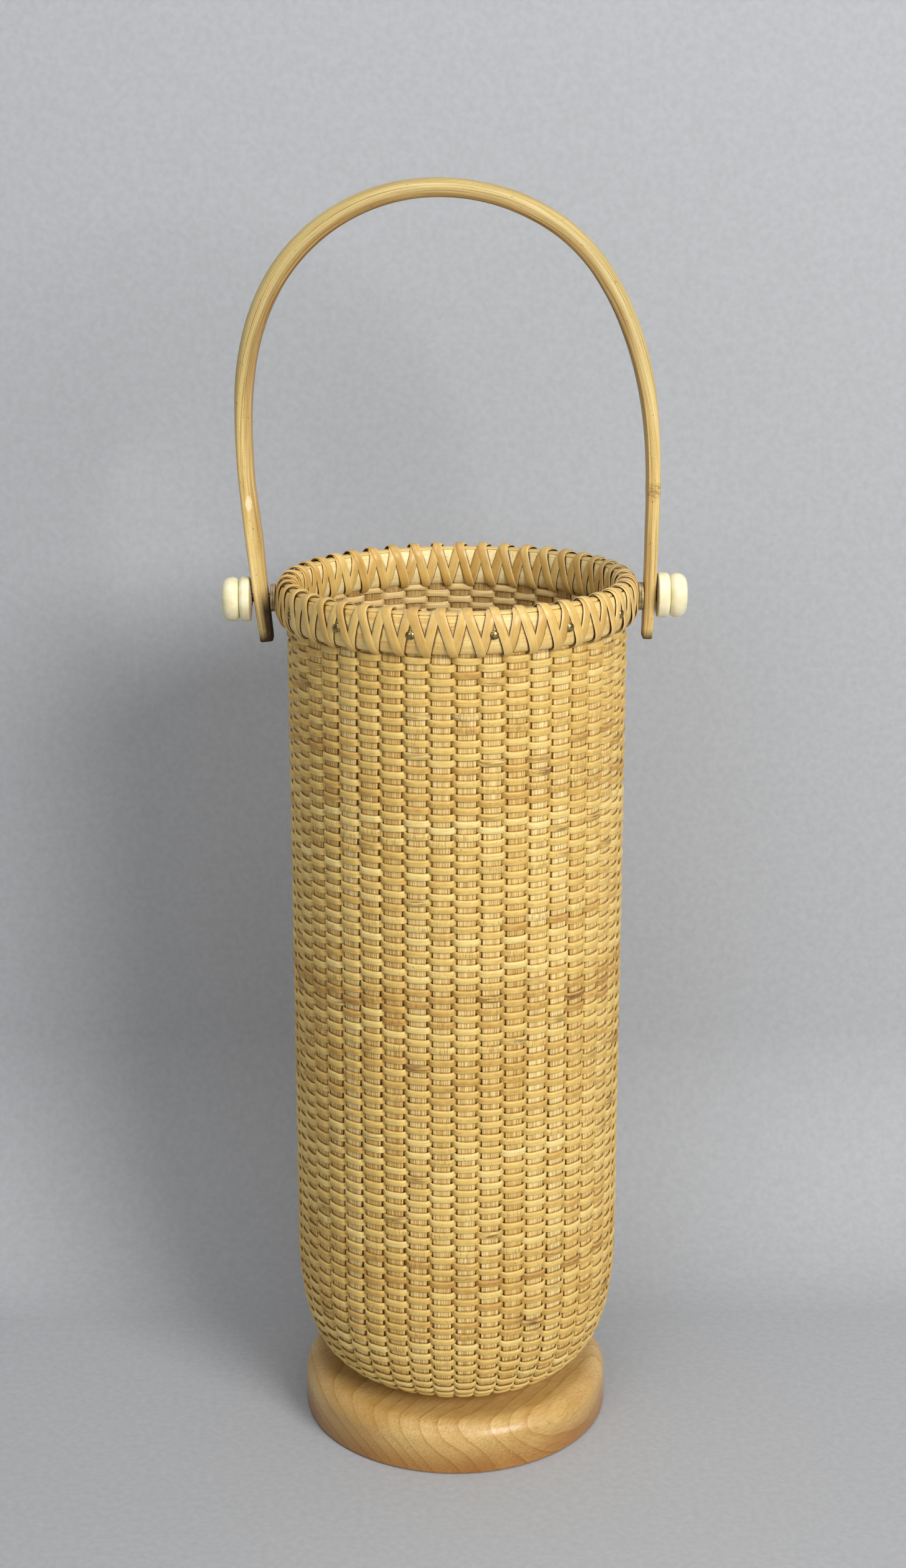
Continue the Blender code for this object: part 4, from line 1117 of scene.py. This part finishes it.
def make_handle(look):
    """One bent strip, rounded outside over the bow and squarer on the legs, as uneven as hand work is."""
    quarter = np.linspace(0, math.pi / 2, 400)
    heights = np.linspace(END_HEIGHT, WIDEST_HEIGHT, 40, endpoint=False).tolist()
    upper = np.sin(quarter) ** (2 / ARCH_POWER)
    heights += (WIDEST_HEIGHT + upper * (CROWN_CENTRE - WIDEST_HEIGHT)).tolist()
    line = np.array([handle_centre(-1, z) for z in heights] + [handle_centre(1, z) for z in heights[-2::-1]])
    length = running_length(line)
    first, last = LEFT_TRIM, length[-1] - RIGHT_TRIM
    middle = np.linspace(first + 0.9 * MM, last - 0.9 * MM, 260)
    place = np.concatenate([[first, first + 0.35 * MM], middle, [last - 0.35 * MM, last]])
    x, z = np.interp(place, length, line[:, 0]), np.interp(place, length, line[:, 1])
    ahead = unit(np.stack([np.gradient(x, place), np.gradient(z, place)], -1))
    away = np.stack([-ahead[:, 1], ahead[:, 0]], -1)
    share = np.sqrt(np.clip((z - END_HEIGHT) / (CROWN_CENTRE - END_HEIGHT), 0, 1))
    bearing = np.degrees(np.arctan2(x - BEARING_CENTRE[0], z - BEARING_CENTRE[1]))
    more_out = np.interp(bearing, UNEVEN[:, 0], UNEVEN[:, 1]) * MM
    more_in = np.interp(bearing, UNEVEN[:, 0], UNEVEN[:, 2]) * MM
    thick = (4.2 + 1.8 * share) * MM * (1 + 0.012 * drift(place, 0.013, 61)) + more_out + more_in
    wide = (7.6 + 2.0 * share) * MM * (1 + 0.015 * drift(place, 0.017, 62))
    swell = np.exp(-(((z - KNUCKLE_HEIGHT) / (2.6 * MM)) ** 2)) * (x > 0)
    flat = smooth_step(z, 415 * MM, 350 * MM)
    sections = handle_sections(0.35 + flat * 0.43, 0.7 - flat * 0.25)
    trim = np.ones_like(place)
    trim[[0, -1]] = 0.86
    across = sections[..., 0] * (wide * trim * (1 + 0.03 * swell))[:, None]
    out = sections[..., 1] * (thick * trim * (1 + 0.05 * swell))[:, None] + (more_out - more_in)[:, None] / 2
    rings = np.stack([x[:, None] + away[:, :1] * out, across, z[:, None] + away[:, 1:] * out], -1)
    way = perimeter(sections[len(place) // 2] * [9.6, 6.2])
    # under marks the strip's inner face, which carries painted shade.
    under = np.clip((-sections[..., 1] - 0.02) / 0.3, 0, 1)
    reach_in = np.clip((0.08 - sections[..., 1]) / 0.24, 0, 1)
    left = (x < 0)[:, None]
    soot = smooth_step(z, 319 * MM, 311 * MM)[:, None] * reach_in * np.where(left, 1.0, 0.08)
    cut = smooth_step(z, END_HEIGHT + 4.6 * MM, END_HEIGHT + 1.4 * MM)[:, None]
    dirt = smooth_step(z, 322 * MM, 306 * MM)[:, None] * np.where(left, 0.14, 0.0)
    soot = np.maximum(np.maximum(soot, dirt), cut * np.where(left, 0.97, 0.85))
    values = {
        "soot": soot.ravel(),
        "inner": (under * (1 - 0.55 * flat)[:, None]).ravel(),
        # painted shade over the bow
        "bow": np.repeat(1 - flat, sections.shape[1]),
    }
    made = tube("handle_bow", rings, place / MM, way, False, values)
    sharpen(made, 75)
    made.data.materials.append(look)
    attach(made, "handle")
    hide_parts("bail_handle")


# Stage

STAGE_HALF = 3.0
SWEEP_START, SWEEP_BEND = 0.062, 0.09
COOL_WHITE = (0.97, 0.98, 1.0)
LENS = 54.54
CAMERA_PLACE = (-0.0014, -0.820, 0.4865)
CAMERA_DOWN, CAMERA_TURN = 16.32, -1.1


def make_stage():
    """A pale floor, and a sweep behind the basket that is clear when it is looked at from behind."""
    look = Look("pale_paper", Roughness=0.9, Specular_IOR_Level=0.1)
    speckle = look.grain(look.place(), (0.4, 0.4, 0.4), 2, 0.5)
    look.finish(look.ramp(speckle, (0.3, (170, 172, 175)), (0.7, (178, 180, 184))))
    paper = look.material
    sheer = paper.copy()
    sheer.name = "pale_sweep"
    tree = sheer.node_tree
    switch = tree.nodes.new("ShaderNodeMixShader")
    side = tree.nodes.new("ShaderNodeNewGeometry")
    clear = tree.nodes.new("ShaderNodeBsdfTransparent")
    tree.links.new(side.outputs["Backfacing"], switch.inputs[0])
    tree.links.new(tree.nodes["Principled BSDF"].outputs[0], switch.inputs[1])
    tree.links.new(clear.outputs[0], switch.inputs[2])
    tree.links.new(switch.outputs[0], tree.nodes["Material Output"].inputs["Surface"])
    angles = np.linspace(0, math.pi / 2, 25)
    line = [(SWEEP_START + SWEEP_BEND * math.sin(a), SWEEP_BEND * (1 - math.cos(a))) for a in angles]
    line.append((SWEEP_START + SWEEP_BEND, STAGE_HALF))
    points = [(x, y, z) for y, z in line for x in (-STAGE_HALF, STAGE_HALF)]
    faces = [(2 * row, 2 * row + 1, 2 * row + 3, 2 * row + 2) for row in range(len(line) - 1)]
    floor = [(x * STAGE_HALF, y * STAGE_HALF, 0.0) for x, y in ((-1, -1), (1, -1), (1, 1), (-1, 1))]
    for name, corners, sheets, material in (
        ("sweep", points, faces, sheer),
        ("floor", floor, [(0, 1, 2, 3)], paper),
    ):
        mesh = bpy.data.meshes.new(name)
        mesh.from_pydata(corners, [], sheets)
        mesh.shade_smooth()
        mesh.materials.append(material)
        made = bpy.data.objects.new(name, mesh)
        bpy.context.scene.collection.objects.link(made)


def add_light(name, place, target, size, energy, colour):
    light = bpy.data.lights.new(name, "AREA")
    light.shape = "DISK"
    light.size = size
    light.energy = energy
    light.color = colour
    made = bpy.data.objects.new(name, light)
    made.location = place
    made.rotation_euler = (Vector(target) - Vector(place)).to_track_quat("-Z", "Y").to_euler()
    bpy.context.scene.collection.objects.link(made)


def make_lights():
    add_light("key", (0.98, -1.42, 0.98), (0, 0, 0.22), 0.85, 29, (1.0, 0.985, 0.96))
    add_light("fill", (-0.7, -1.6, 0.8), (0, 0, 0.2), 1.0, 5.2, COOL_WHITE)
    add_light("top", (0.0, -0.45, 1.5), (0, 0, 0.2), 1.0, 7.5, (1.0, 0.99, 0.98))
    world = bpy.data.worlds.new("studio")
    world.use_nodes = True
    world.node_tree.nodes["Background"].inputs["Color"].default_value = (*COOL_WHITE, 1)
    world.node_tree.nodes["Background"].inputs["Strength"].default_value = 0.17
    bpy.context.scene.world = world
    bpy.context.scene.view_settings.view_transform = "Standard"


def make_camera():
    """The photograph's view, found from the ellipses of the rim and the foot."""
    turn = math.radians(CAMERA_TURN)
    camera = bpy.data.cameras.new("camera")
    camera.sensor_width = 36
    camera.lens = LENS
    camera.clip_start = 0.05
    made = bpy.data.objects.new("camera", camera)
    x, y, z = CAMERA_PLACE
    made.location = (x * math.cos(turn) - y * math.sin(turn), x * math.sin(turn) + y * math.cos(turn), z)
    made.rotation_euler = (math.radians(90 - CAMERA_DOWN), 0, turn)
    bpy.context.scene.collection.objects.link(made)
    bpy.context.scene.camera = made


# The scene

make_camera()
make_stage()
make_lights()

WEAVER = weaver_look()
RIBS = stave_look()
LASHING = lashing_look()
HOOP = hoop_look()
HANDLE = handle_look()
MAPLE = maple_look()
BONE = bone_look()
BRASS = brass_look("aged_brass", 1.0)
SHADED_BRASS = brass_look("shaded_brass", 0.42)
WASHER = washer_look()

make_weaver(WEAVER)
make_staves(RIBS)
make_hoops(HOOP, LASHING)
make_lashing(LASHING)
make_tacks(BRASS)
make_foot(MAPLE)
make_base(MAPLE)
make_pivots(BONE, WASHER)
make_handle(HANDLE)

for node, look in (
    ("foot_screw", BRASS),
    # The pivot pins get the shaded copy of the brass: painted shade, as they stand in the dark beside the
    # handle.
    ("pivot_pin_left", SHADED_BRASS),
    ("pivot_pin_right", SHADED_BRASS),
):
    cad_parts[node].data.materials.clear()
    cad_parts[node].data.materials.append(look)
